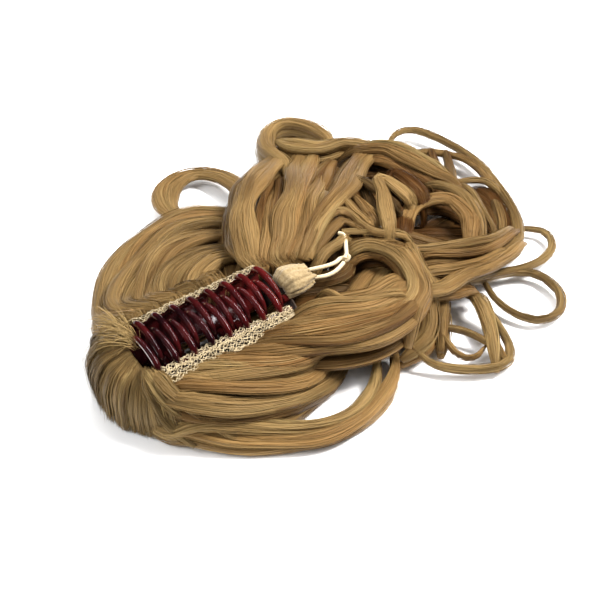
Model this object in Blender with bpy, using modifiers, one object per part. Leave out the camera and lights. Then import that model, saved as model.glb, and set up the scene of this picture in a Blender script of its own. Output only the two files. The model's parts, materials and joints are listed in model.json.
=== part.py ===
# Ponytail hairpiece on a claw clip, lying on a table with the claw's teeth up.
# Metres, +Z up. The origin is on the table beneath the middle of the near teeth.
# +X runs along the claw towards the cloth hood, +Y across it to the far side.

import math
from collections import namedtuple

import bmesh
import bpy
from mathutils import Matrix, Vector

COLLECTION_NAME = "ponytail_hairpiece"
CUTTER_COLLECTION_NAME = "cutters"
CLEARANCE = 0.0003

# Claw
TOOTH_COUNT = 8
TOOTH_PITCH = 0.010
TOOTH_ROOT_RADIUS = 0.0017
TOOTH_TIP_RADIUS = 0.0011
JAW_START_MARGIN = 0.0026
JAW_END_MARGIN = 0.0076
JAW_THICKNESS = 0.0024
JAW_HALF_WIDTH = 0.0146
JAW_HEIGHT = 0.0180
LEVER_DEPTH = 0.0065
TOOTH_RISE = 0.0056
CLAW_ROLL = math.radians(15.0)
HINGE_Y = 0.0064
HINGE_HEIGHT = 0.0150
PIN_RADIUS = 0.0012
PIN_CLEARANCE = 0.0003
KNUCKLE_RADIUS = 0.0033
KNUCKLE_LENGTH = 0.0090
KNUCKLE_GAP = 0.0006
KNUCKLE_PAIR_SPACING = 0.0400

# Stretch net round the claw
NET_WALL = 0.0012
NET_FIT = 0.0005
NET_FLOOR_DEPTH = 0.0086
NET_BAND_NEAR = 0.0062
NET_BAND_FAR = 0.0030
NET_MESH_PITCH = TOOTH_PITCH / 2.5
NET_FAR_STEPS = 8
NET_END_STEPS = 6
NET_FRONT_BULGE = 0.06
NET_END_BULGE = 0.20
NET_END_FLARE = 0.15

# Cloth hood behind the claw's end
HOOD_WALL = 0.0012
HOOD_LENGTH = 0.0116
HOOD_HALF_WIDTH = 0.0098
HOOD_HALF_HEIGHT = 0.0066
HOOD_HEIGHT = 0.0325
HOOD_GATHERS = 9
HOOD_GATHER_DEPTH = 0.0005
HOOD_RING_POINTS = 36

# Draw elastic
ELASTIC_DIAMETER = 0.0021
KNOT_LENGTH = 0.0052
KNOT_WIDTH = 0.0044

# Hair
FALL_LENGTH = 0.200
FALL_WIDTH = 0.200
PILE_HEIGHT = 0.040
LOCK_WIDTH = 0.018
LOCK_DEPTH = 0.009
DOME_REACH = 0.028
DOME_HEIGHT = 0.033
DOME_LOCK_WIDTH = 0.019
DOME_LOCK_DEPTH = 0.010
BED_HALF_LENGTH = 0.052
BED_HALF_WIDTH = 0.030
BED_HEIGHT = 0.012
LOCK_SIDES = 8
TOOTH_SIDES = 6
LOCK_STEPS = 3
FUSE_VOXEL = 0.0022
HAIR_FACES = 4080
WELL_TOP = 0.090

Lock = namedtuple("Lock", "name width end depth layers route")
JawPoint = namedtuple("JawPoint", "half_width height")
ToothPoint = namedtuple("ToothPoint", "half_width rise radius")
NetRow = namedtuple("NetRow", "width height flare rise")
HoodRow = namedtuple("HoodRow", "along centre_y centre_z half_width half_height")
DomeRow = namedtuple("DomeRow", "angle reach")
DomeStation = namedtuple("DomeStation", "reach height")

# Jaw section above and below the hinge: shares of JAW_HALF_WIDTH, and of
# JAW_HEIGHT above the hinge or LEVER_DEPTH below it
JAW_SECTION = (
    JawPoint(0.58, -1.00),
    JawPoint(0.40, -0.35),
    JawPoint(0.36, 0.06),
    JawPoint(0.56, 0.33),
    JawPoint(0.82, 0.60),
    JawPoint(0.96, 0.84),
    JawPoint(1.00, 1.06),
)

# Tooth from its root in the jaw's rim across to the other jaw: shares of
# JAW_HALF_WIDTH, of TOOTH_RISE over the rim, and from root radius 1 to tip radius 0
TOOTH_SECTION = (
    ToothPoint(1.00, -0.25, 1.00),
    ToothPoint(0.98, 0.28, 1.00),
    ToothPoint(0.83, 0.70, 1.00),
    ToothPoint(0.54, 0.95, 0.95),
    ToothPoint(0.12, 1.00, 0.85),
    ToothPoint(-0.28, 0.76, 0.65),
    ToothPoint(-0.54, 0.24, 0.40),
    ToothPoint(-0.67, -0.40, 0.10),
    ToothPoint(-0.70, -0.65, 0.00),
)

# Net from its floor to its rim: share of its half width, share of JAW_HEIGHT over
# the hinge (NET_FLOOR_DEPTH below it), and the band's flare and rise as shares
NET_SECTION = (
    NetRow(0.42, -1.00, 0.0, 0.0),
    NetRow(0.66, -0.90, 0.0, 0.0),
    NetRow(0.76, 0.00, 0.0, 0.0),
    NetRow(0.94, 0.55, 0.0, 0.0),
    NetRow(1.00, 0.85, 0.0, 0.0),
    NetRow(1.00, 0.97, 0.08, 0.06),
    NetRow(1.00, 0.97, 0.38, 0.28),
    NetRow(1.00, 0.97, 0.56, 0.34),
    NetRow(1.00, 0.97, 0.86, 0.28),
    NetRow(1.00, 0.97, 1.00, 0.20),
)
NET_GAP_ROWS = (5, 7)

# Hood from the claw's end to its mouth: share of HOOD_LENGTH, centre as shares of
# HOOD_HALF_WIDTH and HOOD_HALF_HEIGHT, and half sizes as shares of the same
HOOD_SECTIONS = (
    HoodRow(0.00, 0.04, 0.20, 0.92, 0.94),
    HoodRow(0.30, 0.02, 0.22, 0.96, 1.00),
    HoodRow(0.68, -0.04, 0.30, 0.86, 0.84),
    HoodRow(1.00, -0.12, 0.40, 0.68, 0.58),
)

# Elastic routes, chosen by hand and repeated by the scene
UPPER_ROUTE = (
    (0.0545, 0.0004, 0.0352),
    (0.0585, 0.0004, 0.0358),
    (0.0620, -0.0006, 0.0364),
    (0.0660, -0.0024, 0.0368),
    (0.0710, -0.0042, 0.0370),
    (0.0755, -0.0050, 0.0371),
    (0.0785, -0.0047, 0.0371),
    (0.0812, -0.0038, 0.0371),
)
LOWER_ROUTE = (
    (0.0500, -0.0026, 0.0344),
    (0.0545, -0.0034, 0.0347),
    (0.0590, -0.0044, 0.0347),
    (0.0630, -0.0064, 0.0347),
    (0.0680, -0.0086, 0.0349),
    (0.0730, -0.0090, 0.0352),
    (0.0775, -0.0080, 0.0356),
    (0.0812, -0.0066, 0.0360),
)
KNOT_CENTRE = (0.0845, -0.0048, 0.0368)
TAIL_ROUTE = (
    (0.0870, -0.0020, 0.0370),
    (0.0895, 0.0012, 0.0372),
    (0.0925, 0.0050, 0.0374),
    (0.0952, 0.0088, 0.0374),
    (0.0966, 0.0122, 0.0372),
    (0.0956, 0.0146, 0.0370),
)

# Dome round the claw's front end: direction from the claw's line in degrees, and
# how far the hair stands out past the net as a share of DOME_REACH
DOME_LOCKS = (
    DomeRow(70, 1.00),
    DomeRow(92, 1.00),
    DomeRow(112, 0.90),
    DomeRow(132, 0.74),
    DomeRow(152, 0.58),
    DomeRow(172, 0.48),
    DomeRow(192, 0.44),
    DomeRow(212, 0.48),
    DomeRow(232, 0.58),
    DomeRow(252, 0.72),
    DomeRow(272, 0.86),
)
DOME_STATIONS = (
    DomeStation(-0.05, 0.82),
    DomeStation(0.25, 0.90),
    DomeStation(0.62, 0.78),
    DomeStation(0.88, 0.50),
    DomeStation(0.90, 0.24),
    DomeStation(0.60, 0.12),
)

# Locks of the fall: width where it starts and ends as shares of LOCK_WIDTH, depth as a
# share of LOCK_DEPTH, how many runs lie one over another from the table up, and the
# top run's stations as shares of FALL_LENGTH, FALL_WIDTH and PILE_HEIGHT
LOCKS = (
    Lock("near_low_outer", 0.70, 0.40, 0.80, 2, (
        (-0.25, -0.05, 0.65), (-0.24, -0.11, 0.42), (-0.17, -0.18, 0.22), (-0.08, -0.27, 0.15),
        (0.05, -0.36, 0.12), (0.17, -0.38, 0.12), (0.27, -0.35, 0.12), (0.35, -0.30, 0.15),
        (0.39, -0.25, 0.28))),
    Lock("near_low_inner", 0.80, 0.35, 0.80, 3, (
        (-0.23, -0.07, 0.68), (-0.21, -0.13, 0.50), (-0.15, -0.19, 0.36), (-0.04, -0.27, 0.24),
        (0.07, -0.33, 0.16), (0.17, -0.35, 0.13), (0.26, -0.32, 0.13), (0.32, -0.27, 0.16),
        (0.34, -0.24, 0.28))),
    Lock("near_middle_1", 1.00, 0.45, 0.95, 3, (
        (-0.21, -0.08, 0.72), (-0.15, -0.17, 0.62), (-0.06, -0.23, 0.48), (0.05, -0.26, 0.34),
        (0.14, -0.25, 0.22), (0.22, -0.23, 0.15), (0.28, -0.20, 0.15))),
    Lock("near_middle_2", 1.00, 0.50, 0.95, 3, (
        (-0.18, -0.09, 0.75), (-0.10, -0.16, 0.68), (0.01, -0.21, 0.54), (0.12, -0.23, 0.36),
        (0.21, -0.20, 0.24), (0.28, -0.17, 0.20))),
    Lock("near_middle_3", 1.00, 0.60, 0.95, 3, (
        (-0.14, -0.10, 0.75), (-0.05, -0.16, 0.70), (0.06, -0.20, 0.58), (0.19, -0.20, 0.40))),
    Lock("near_middle_4", 0.90, 0.60, 0.95, 3, (
        (-0.08, -0.11, 0.75), (0.01, -0.15, 0.70), (0.10, -0.20, 0.62), (0.22, -0.20, 0.46))),
    Lock("upper_1", 0.70, 0.75, 0.95, 1, (
        (-0.01, -0.10, 0.66), (0.08, -0.16, 0.68), (0.19, -0.22, 0.68), (0.29, -0.27, 0.68),
        (0.39, -0.27, 0.70), (0.49, -0.23, 0.72), (0.55, -0.17, 0.75))),
    Lock("upper_2", 0.90, 0.80, 1.00, 2, (
        (0.05, -0.10, 0.70), (0.14, -0.17, 0.74), (0.24, -0.23, 0.76), (0.35, -0.26, 0.78),
        (0.45, -0.24, 0.76))),
    Lock("upper_3", 0.90, 0.80, 1.00, 2, (
        (0.10, -0.10, 0.70), (0.18, -0.16, 0.78), (0.28, -0.22, 0.82), (0.38, -0.24, 0.80),
        (0.50, -0.20, 0.75))),
    Lock("upper_4", 0.90, 0.80, 1.00, 3, (
        (0.17, -0.10, 0.70), (0.25, -0.14, 0.80), (0.34, -0.20, 0.84), (0.45, -0.21, 0.80))),
    Lock("upper_5", 0.80, 0.80, 1.00, 3, (
        (0.25, -0.10, 0.66), (0.30, -0.13, 0.76), (0.38, -0.17, 0.80), (0.47, -0.17, 0.78))),
    Lock("eye_outer", 0.75, 0.80, 0.90, 3, (
        (0.46, 0.08, 0.82), (0.49, 0.03, 0.84), (0.55, 0.00, 0.85), (0.56, -0.08, 0.82),
        (0.53, -0.18, 0.78), (0.48, -0.26, 0.72), (0.42, -0.32, 0.58))),
    Lock("eye_inner", 0.65, 0.65, 0.90, 3, (
        (0.36, -0.02, 0.76), (0.43, 0.00, 0.78), (0.50, 0.00, 0.78), (0.53, -0.05, 0.77),
        (0.53, -0.12, 0.76), (0.47, -0.17, 0.72))),
    Lock("eye_core", 0.60, 0.60, 0.80, 2, (
        (0.40, -0.06, 0.52), (0.49, -0.03, 0.52), (0.52, -0.07, 0.50), (0.48, -0.13, 0.50))),
    Lock("under_hood", 1.10, 0.90, 0.90, 3, (
        (0.20, 0.02, 0.46), (0.25, 0.00, 0.62), (0.30, -0.02, 0.68), (0.37, -0.05, 0.66),
        (0.44, -0.08, 0.62))),
    Lock("under_knot", 0.80, 0.70, 0.80, 3, (
        (0.27, 0.08, 0.60), (0.33, 0.02, 0.76), (0.38, -0.02, 0.83), (0.43, -0.02, 0.84),
        (0.48, 0.03, 0.82))),
    Lock("under_tail", 0.90, 0.90, 0.90, 3, (
        (0.44, 0.00, 0.74), (0.48, 0.06, 0.80), (0.55, 0.07, 0.76), (0.62, 0.03, 0.66))),
    Lock("middle_1", 1.00, 0.90, 1.00, 4, (
        (0.14, 0.10, 0.84), (0.18, 0.14, 0.78), (0.25, 0.24, 0.70), (0.34, 0.36, 0.68),
        (0.47, 0.48, 0.62), (0.60, 0.57, 0.55), (0.71, 0.60, 0.48))),
    Lock("middle_2", 1.00, 0.90, 1.00, 4, (
        (0.19, 0.10, 0.84), (0.30, 0.20, 0.78), (0.42, 0.33, 0.78), (0.54, 0.44, 0.72),
        (0.68, 0.54, 0.58))),
    Lock("middle_3", 1.00, 0.90, 1.00, 4, (
        (0.24, 0.09, 0.84), (0.34, 0.18, 0.85), (0.46, 0.29, 0.88), (0.58, 0.40, 0.82),
        (0.74, 0.52, 0.62))),
    Lock("middle_4", 1.00, 0.90, 1.00, 4, (
        (0.28, 0.07, 0.84), (0.38, 0.14, 0.90), (0.50, 0.22, 0.94), (0.62, 0.34, 0.90),
        (0.80, 0.48, 0.64))),
    Lock("middle_5", 0.80, 0.70, 0.90, 3, (
        (0.33, 0.05, 0.80), (0.43, 0.11, 0.88), (0.52, 0.16, 0.93), (0.57, 0.15, 0.93),
        (0.58, 0.09, 0.88), (0.57, 0.02, 0.82))),
    Lock("middle_6", 0.90, 0.80, 1.00, 4, (
        (0.36, 0.07, 0.84), (0.42, 0.12, 0.92), (0.54, 0.20, 0.96), (0.70, 0.32, 0.88),
        (0.86, 0.44, 0.66))),
    Lock("back_curl", 0.75, 0.60, 1.10, 3, (
        (0.62, 0.48, 0.60), (0.67, 0.55, 0.55), (0.69, 0.67, 0.50), (0.77, 0.78, 0.42),
        (0.86, 0.81, 0.38), (0.92, 0.75, 0.35), (0.92, 0.65, 0.35), (0.88, 0.58, 0.32))),
    Lock("back_roll", 0.80, 0.75, 1.10, 3, (
        (0.76, 0.70, 0.45), (0.75, 0.62, 0.54), (0.81, 0.56, 0.52), (0.90, 0.56, 0.45),
        (0.98, 0.51, 0.38))),
    Lock("top_edge", 0.80, 0.70, 1.00, 2, (
        (0.87, 0.56, 0.45), (0.97, 0.55, 0.40), (1.03, 0.47, 0.40), (1.06, 0.35, 0.38),
        (1.04, 0.22, 0.35), (0.97, 0.06, 0.33), (0.89, -0.05, 0.30))),
    Lock("top_upright", 0.70, 0.80, 0.80, 2, (
        (0.87, 0.40, 0.60), (0.82, 0.26, 0.68), (0.73, 0.15, 0.68), (0.62, 0.03, 0.70))),
    Lock("top_across", 0.90, 0.70, 1.00, 3, (
        (0.52, 0.08, 0.76), (0.60, 0.04, 0.80), (0.66, -0.01, 0.78), (0.72, -0.08, 0.68),
        (0.83, -0.12, 0.50), (0.95, -0.13, 0.35))),
    Lock("under_top", 1.60, 1.40, 0.90, 2, (
        (0.60, 0.20, 0.40), (0.76, 0.30, 0.38), (0.90, 0.37, 0.30), (1.03, 0.34, 0.22))),
    Lock("under_ring", 1.60, 1.50, 0.70, 2, (
        (0.60, 0.03, 0.40), (0.74, 0.06, 0.28), (0.86, 0.07, 0.17), (0.98, 0.09, 0.14))),
    Lock("great_arc", 0.30, 0.45, 0.70, 2, (
        (1.13, 0.56, 0.20), (1.20, 0.56, 0.18), (1.25, 0.46, 0.20), (1.23, 0.29, 0.22),
        (1.17, 0.11, 0.22), (1.06, -0.04, 0.24), (0.93, -0.13, 0.28), (0.78, -0.15, 0.35),
        (0.66, -0.10, 0.45))),
    Lock("inner_ring", 0.75, 0.60, 0.90, 3, (
        (0.66, 0.02, 0.62), (0.72, 0.09, 0.62), (0.82, 0.13, 0.60), (0.94, 0.12, 0.54),
        (0.99, 0.05, 0.44), (0.93, -0.05, 0.36), (0.82, -0.09, 0.40), (0.72, -0.07, 0.48))),
    Lock("right_arc", 0.35, 0.45, 0.80, 2, (
        (1.05, 0.46, 0.32), (1.12, 0.43, 0.30), (1.16, 0.36, 0.30), (1.13, 0.25, 0.32),
        (1.08, 0.14, 0.32), (1.04, 0.04, 0.30), (0.98, -0.07, 0.26))),
    Lock("small_ring", 0.22, 0.40, 0.60, 1, (
        (1.00, -0.06, 0.22), (1.07, -0.08, 0.16), (1.11, -0.13, 0.14), (1.07, -0.19, 0.14),
        (1.00, -0.22, 0.16), (0.92, -0.22, 0.18), (0.82, -0.20, 0.25), (0.71, -0.19, 0.38),
        (0.60, -0.15, 0.52))),
    Lock("right_ring", 0.30, 0.30, 0.65, 1, (
        (0.68, -0.19, 0.40), (0.76, -0.20, 0.26), (0.85, -0.20, 0.18), (0.93, -0.25, 0.14),
        (0.92, -0.34, 0.13), (0.85, -0.40, 0.13), (0.78, -0.39, 0.13), (0.75, -0.33, 0.14),
        (0.75, -0.26, 0.18), (0.77, -0.20, 0.24))),
    Lock("low_ring", 0.35, 0.28, 0.65, 1, (
        (0.67, -0.20, 0.44), (0.68, -0.30, 0.25), (0.65, -0.40, 0.15), (0.60, -0.45, 0.13),
        (0.54, -0.44, 0.13), (0.47, -0.39, 0.14), (0.43, -0.34, 0.18), (0.41, -0.29, 0.34))),
    Lock("low_arc", 0.22, 0.22, 0.60, 1, (
        (0.51, -0.27, 0.32), (0.57, -0.31, 0.24), (0.60, -0.38, 0.18), (0.59, -0.45, 0.13))),
    Lock("low_curl", 0.20, 0.20, 0.50, 1, (
        (0.51, -0.30, 0.30), (0.51, -0.36, 0.16), (0.54, -0.39, 0.14), (0.59, -0.38, 0.16))),
    Lock("low_side", 0.32, 0.28, 0.65, 1, (
        (0.70, -0.20, 0.38), (0.66, -0.30, 0.28), (0.62, -0.37, 0.20), (0.60, -0.44, 0.14))),
    Lock("drop_wide", 0.80, 0.45, 0.90, 2, (
        (0.56, -0.16, 0.66), (0.52, -0.24, 0.50), (0.46, -0.29, 0.34), (0.38, -0.29, 0.18))),
    Lock("drop_edge", 0.65, 0.45, 0.80, 2, (
        (0.60, -0.14, 0.58), (0.58, -0.22, 0.45), (0.52, -0.29, 0.28), (0.48, -0.33, 0.18))),
    Lock("left_1", 0.90, 0.90, 1.00, 3, (
        (-0.13, 0.10, 0.86), (-0.16, 0.18, 0.68), (-0.15, 0.24, 0.55), (-0.06, 0.35, 0.50),
        (0.06, 0.46, 0.45), (0.18, 0.52, 0.40), (0.30, 0.53, 0.38), (0.40, 0.46, 0.40))),
    Lock("left_2", 1.00, 0.90, 1.00, 4, (
        (-0.08, 0.10, 0.88), (-0.11, 0.17, 0.75), (-0.10, 0.23, 0.65), (-0.01, 0.33, 0.58),
        (0.09, 0.41, 0.52), (0.20, 0.45, 0.50), (0.30, 0.43, 0.50), (0.36, 0.38, 0.50))),
    Lock("left_3", 1.00, 0.90, 1.00, 4, (
        (-0.02, 0.10, 0.88), (-0.06, 0.16, 0.75), (-0.05, 0.21, 0.66), (0.03, 0.30, 0.62),
        (0.12, 0.36, 0.58), (0.22, 0.37, 0.55), (0.31, 0.34, 0.55))),
    Lock("left_4", 1.00, 0.90, 1.00, 4, (
        (0.04, 0.10, 0.88), (0.00, 0.14, 0.75), (0.00, 0.18, 0.68), (0.06, 0.25, 0.65),
        (0.15, 0.29, 0.62), (0.26, 0.28, 0.60))),
    Lock("left_5", 0.90, 0.90, 1.00, 4, (
        (0.09, 0.10, 0.88), (0.06, 0.14, 0.75), (0.11, 0.20, 0.68), (0.18, 0.22, 0.68),
        (0.24, 0.20, 0.70))),
    Lock("left_loop", 0.80, 0.60, 0.80, 1, (
        (0.27, 0.55, 0.32), (0.30, 0.66, 0.23), (0.36, 0.75, 0.18), (0.44, 0.79, 0.16),
        (0.50, 0.77, 0.16), (0.53, 0.69, 0.20), (0.51, 0.57, 0.28), (0.44, 0.44, 0.40))),
)


# Scene set-up and small helpers

def clear_scene():
    for item in list(bpy.data.objects):
        bpy.data.objects.remove(item, do_unlink=True)


def make_collection(name):
    collection = bpy.data.collections.new(name)
    bpy.context.scene.collection.children.link(collection)
    return collection


def make_material(name, colour, roughness, metallic=0.0):
    material = bpy.data.materials.new(name)
    material.use_nodes = True
    shader = material.node_tree.nodes["Principled BSDF"]
    shader.inputs["Base Color"].default_value = (*colour, 1.0)
    shader.inputs["Roughness"].default_value = roughness
    shader.inputs["Metallic"].default_value = metallic
    return material


def object_from_mesh(name, mesh, collection, material=None):
    item = bpy.data.objects.new(name, mesh)
    collection.objects.link(item)
    if material:
        mesh.materials.append(material)
    return item


def mesh_from_parts(name, vertices, faces):
    mesh = bpy.data.meshes.new(name)
    mesh.from_pydata([tuple(v) for v in vertices], [], faces)
    work = bmesh.new()
    work.from_mesh(mesh)
    bmesh.ops.recalc_face_normals(work, faces=work.faces)
    work.to_mesh(mesh)
    work.free()
    return mesh


def evaluated_mesh(item):
    graph = bpy.context.evaluated_depsgraph_get()
    mesh = bpy.data.meshes.new_from_object(item.evaluated_get(graph))
    mesh.transform(item.matrix_world)
    return mesh


def replace_mesh(item, mesh):
    item.modifiers.clear()
    item.data = mesh
    item.matrix_world = Matrix.Identity(4)


def apply_modifiers(item):
    bpy.context.view_layer.update()
    replace_mesh(item, evaluated_mesh(item))


def boolean(item, other, operation):
    modifier = item.modifiers.new(operation.lower(), "BOOLEAN")
    modifier.operation = operation
    modifier.solver = "EXACT"
    modifier.object = other
    apply_modifiers(item)


def hide_cutter(item):
    item.hide_render = True
    item.display_type = "WIRE"


def shade_round(item, angle=35.0):
    item.data.shade_smooth()
    item.data.set_sharp_from_angle(angle=math.radians(angle))


def smooth_route(points, steps):
    # A Catmull-Rom curve through the points
    spots = [Vector(p) for p in points]
    ends = [2 * spots[0] - spots[1]] + spots + [2 * spots[-1] - spots[-2]]
    route = []
    for i in range(1, len(ends) - 2):
        a, b, c, d = ends[i - 1:i + 3]
        for k in range(steps):
            t = k / steps
            route.append(0.5 * (2 * b + (c - a) * t + (2 * a - 5 * b + 4 * c - d) * t ** 2
                                + (3 * b - a - 3 * c + d) * t ** 3))
    route.append(spots[-1])
    return route


def loft_rings(name, rings, closed_ends=True):
    count = len(rings[0])
    vertices = [v for ring in rings for v in ring]
    faces = []
    for r in range(len(rings) - 1):
        for k in range(count):
            here = r * count + k
            beside = r * count + (k + 1) % count
            faces.append((here, beside, beside + count, here + count))
    if closed_ends:
        faces.append(tuple(range(count)))
        faces.append(tuple((len(rings) - 1) * count + k for k in range(count)))
    return mesh_from_parts(name, vertices, faces)


def tube_rings(route, radii, sides):
    # Rings square to the route, with their first axis level with the table
    rings = []
    for i, spot in enumerate(route):
        ahead = route[min(i + 1, len(route) - 1)] - route[max(i - 1, 0)]
        ahead.normalize()
        across = ahead.cross(Vector((0, 0, 1)))
        if across.length < 0.05:
            across = Vector((1, 0, 0))
        across.normalize()
        upward = across.cross(ahead)
        wide, deep = radii[i]
        ring = []
        for k in range(sides):
            angle = 2 * math.pi * (k + 0.5) / sides
            ring.append(spot + across * wide * math.cos(angle) + upward * deep * math.sin(angle))
        rings.append(ring)
    return rings


def join_meshes(name, meshes):
    vertices = []
    faces = []
    for mesh in meshes:
        first = len(vertices)
        vertices.extend(v.co.copy() for v in mesh.vertices)
        faces.extend(tuple(first + i for i in face.vertices) for face in mesh.polygons)
        bpy.data.meshes.remove(mesh)
    joined = bpy.data.meshes.new(name)
    joined.from_pydata([tuple(v) for v in vertices], [], faces)
    return joined


# Claw

def claw_matrix():
    roll = Matrix.Rotation(CLAW_ROLL, 4, "X")
    return Matrix.Translation((0, HINGE_Y, HINGE_HEIGHT)) @ roll


def tooth_places(offset):
    middle = (TOOTH_COUNT - 1) / 2
    return [(i - middle) * TOOTH_PITCH + offset for i in range(TOOTH_COUNT)]


def jaw_ends():
    start = tooth_places(0.0)[0] - JAW_START_MARGIN
    end = tooth_places(0.0)[-1] + JAW_END_MARGIN
    return start, end


def jaw_section(side):
    section = []
    for point in JAW_SECTION:
        reach = JAW_HEIGHT if point.height > 0 else LEVER_DEPTH
        section.append((side * point.half_width * JAW_HALF_WIDTH, point.height * reach))
    return section


def jaw_plate_mesh(side):
    start, end = jaw_ends()
    curve = smooth_route([(0, y, z) for y, z in jaw_section(side)], 3)
    inner = []
    outer = []
    half = JAW_THICKNESS / 2
    for i, spot in enumerate(curve):
        along = (curve[min(i + 1, len(curve) - 1)] - curve[max(i - 1, 0)]).normalized()
        normal = Vector((0, -along.z, along.y))
        inner.append(spot + normal * half)
        outer.append(spot - normal * half)
    outline = inner + outer[::-1]
    rings = [[Vector((x, p.y, p.z)) for p in outline] for x in (start, end)]
    return loft_rings("jaw_plate", rings)


def tooth_mesh(side, x):
    rim = JAW_HEIGHT
    points = []
    for point in TOOTH_SECTION:
        points.append((x, side * point.half_width * JAW_HALF_WIDTH, rim + point.rise * TOOTH_RISE))
    route = smooth_route(points, 1)
    radii = []
    for point in TOOTH_SECTION:
        radius = TOOTH_TIP_RADIUS + (TOOTH_ROOT_RADIUS - TOOTH_TIP_RADIUS) * point.radius
        radii.append((radius, radius))
    last = route[-1]
    tip_step = (last - route[-2]).normalized() * TOOTH_TIP_RADIUS * 0.6
    route.append(last + tip_step)
    radii.append((TOOTH_TIP_RADIUS * 0.45, TOOTH_TIP_RADIUS * 0.45))
    return loft_rings("tooth", tooth_rings(route, radii))


def tooth_rings(route, radii):
    rings = []
    for i, spot in enumerate(route):
        ahead = (route[min(i + 1, len(route) - 1)] - route[max(i - 1, 0)]).normalized()
        across = Vector((1, 0, 0))
        upward = across.cross(ahead)
        ring = []
        for k in range(TOOTH_SIDES):
            angle = 2 * math.pi * (k + 0.5) / TOOTH_SIDES
            ring.append(spot + across * radii[i][0] * math.cos(angle) + upward * radii[i][1] * math.sin(angle))
        rings.append(ring)
    return rings


def cylinder_mesh(name, x_from, x_to, radius, sides=16):
    rings = []
    for x in (x_from, x_to):
        ring = []
        for k in range(sides):
            angle = 2 * math.pi * k / sides
            ring.append(Vector((x, radius * math.cos(angle), radius * math.sin(angle))))
        rings.append(ring)
    return loft_rings(name, rings)


def box_mesh(name, low, high):
    work = bmesh.new()
    bmesh.ops.create_cube(work, size=1.0)
    size = Vector(high) - Vector(low)
    middle = (Vector(high) + Vector(low)) / 2
    bmesh.ops.scale(work, vec=size, verts=work.verts)
    bmesh.ops.translate(work, vec=middle, verts=work.verts)
    mesh = bpy.data.meshes.new(name)
    work.to_mesh(mesh)
    work.free()
    return mesh


def knuckle_starts(side):
    # The near jaw's knuckle comes first in each pair, the far jaw's just past it
    shift = 0.0 if side < 0 else KNUCKLE_LENGTH + KNUCKLE_GAP
    pair = 2 * KNUCKLE_LENGTH + KNUCKLE_GAP
    return [centre - pair / 2 + shift for centre in (-KNUCKLE_PAIR_SPACING / 2, KNUCKLE_PAIR_SPACING / 2)]


def make_jaw(name, side, offset, collection, cutters, material):
    jaw = object_from_mesh(name, jaw_plate_mesh(side), collection, material)
    waist = min(abs(y) for y, _ in jaw_section(side))
    additions = [join_meshes("teeth", [tooth_mesh(side, x) for x in tooth_places(offset)])]
    for start in knuckle_starts(side):
        additions.append(cylinder_mesh("knuckle", start, start + KNUCKLE_LENGTH, KNUCKLE_RADIUS))
        low = min(0.0, side * waist)
        high = max(0.0, side * waist)
        web_half = KNUCKLE_RADIUS * 0.55
        additions.append(box_mesh("web", (start, low, -web_half), (start + KNUCKLE_LENGTH, high, web_half)))
    for mesh in additions:
        tool = object_from_mesh(mesh.name, mesh, cutters)
        boolean(jaw, tool, "UNION")
        bpy.data.objects.remove(tool, do_unlink=True)
    bore_start, bore_end = jaw_ends()
    bore_mesh = cylinder_mesh("bore", bore_start, bore_end, PIN_RADIUS + PIN_CLEARANCE)
    bore = object_from_mesh("pin_bore_" + name, bore_mesh, cutters)
    hide_cutter(bore)
    boolean(jaw, bore, "DIFFERENCE")
    jaw.data.transform(claw_matrix())
    bore.data.transform(claw_matrix())
    if not jaw.data.materials:
        jaw.data.materials.append(material)
    shade_round(jaw)
    return jaw


def make_hinge_pin(collection, material):
    first = knuckle_starts(-1)[0]
    last = knuckle_starts(1)[-1] + KNUCKLE_LENGTH
    mesh = cylinder_mesh("hinge_pin", first - KNUCKLE_GAP, last + KNUCKLE_GAP, PIN_RADIUS)
    mesh.transform(claw_matrix())
    pin = object_from_mesh("hinge_pin", mesh, collection, material)
    shade_round(pin)
    return pin


# Net

def net_half_width():
    return JAW_HALF_WIDTH + JAW_THICKNESS / 2 + NET_FIT + NET_WALL / 2


def net_ring(row, outward, near_steps, flat_depth=0.0):
    # One level of the net: two straight sides and two round ends
    start, end = jaw_ends()
    half = net_half_width() * row.width + outward
    if row.height < 0:
        level = row.height * NET_FLOOR_DEPTH - flat_depth
    else:
        level = row.height * JAW_HEIGHT
    end_reach = NET_FIT + NET_WALL / 2 + outward
    first = start - end_reach
    last = end + end_reach
    bulge = min(half, net_half_width()) * NET_END_BULGE
    front_bulge = min(half, net_half_width()) * NET_FRONT_BULGE
    ring = []
    for k in range(near_steps + 1):
        x = start + (end - start) * k / near_steps
        ring.append((x, -half, level))
    for k in range(1, NET_END_STEPS):
        angle = -math.pi / 2 + math.pi * k / NET_END_STEPS
        ring.append((last + bulge * math.cos(angle), half * math.sin(angle), level))
    for k in range(NET_FAR_STEPS + 1):
        x = end + (start - end) * k / NET_FAR_STEPS
        ring.append((x, half, level))
    for k in range(1, NET_END_STEPS):
        angle = math.pi / 2 + math.pi * k / NET_END_STEPS
        ring.append((first + front_bulge * math.cos(angle), half * math.sin(angle), level))
    return [Vector(p) for p in flare_ring(ring, row, half)]


def flare_ring(ring, row, half):
    # The band leans out over the hair, further on the near side
    start, end = jaw_ends()
    middle = (start + end) / 2
    flared = []
    for x, y, z in ring:
        nearness = 0.5 - 0.5 * y / half
        band = NET_BAND_FAR + (NET_BAND_NEAR - NET_BAND_FAR) * nearness
        aim = Vector((0, y / half, 0))
        if x > end or x < start:
            aim.x = math.copysign(math.sqrt(max(0.0, 1 - aim.y ** 2)), x - middle)
        if aim.length > 0:
            aim.normalize()
        lift = row.rise * band
        aim.x *= NET_END_FLARE
        flared.append((x + aim.x * band * row.flare, y + aim.y * band * row.flare, z + lift))
    return flared


def net_steps():
    # Two steps to each mesh of the band: one thread, one gap
    start, end = jaw_ends()
    return max(4, 2 * round((end - start) / NET_MESH_PITCH) + 1)


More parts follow.
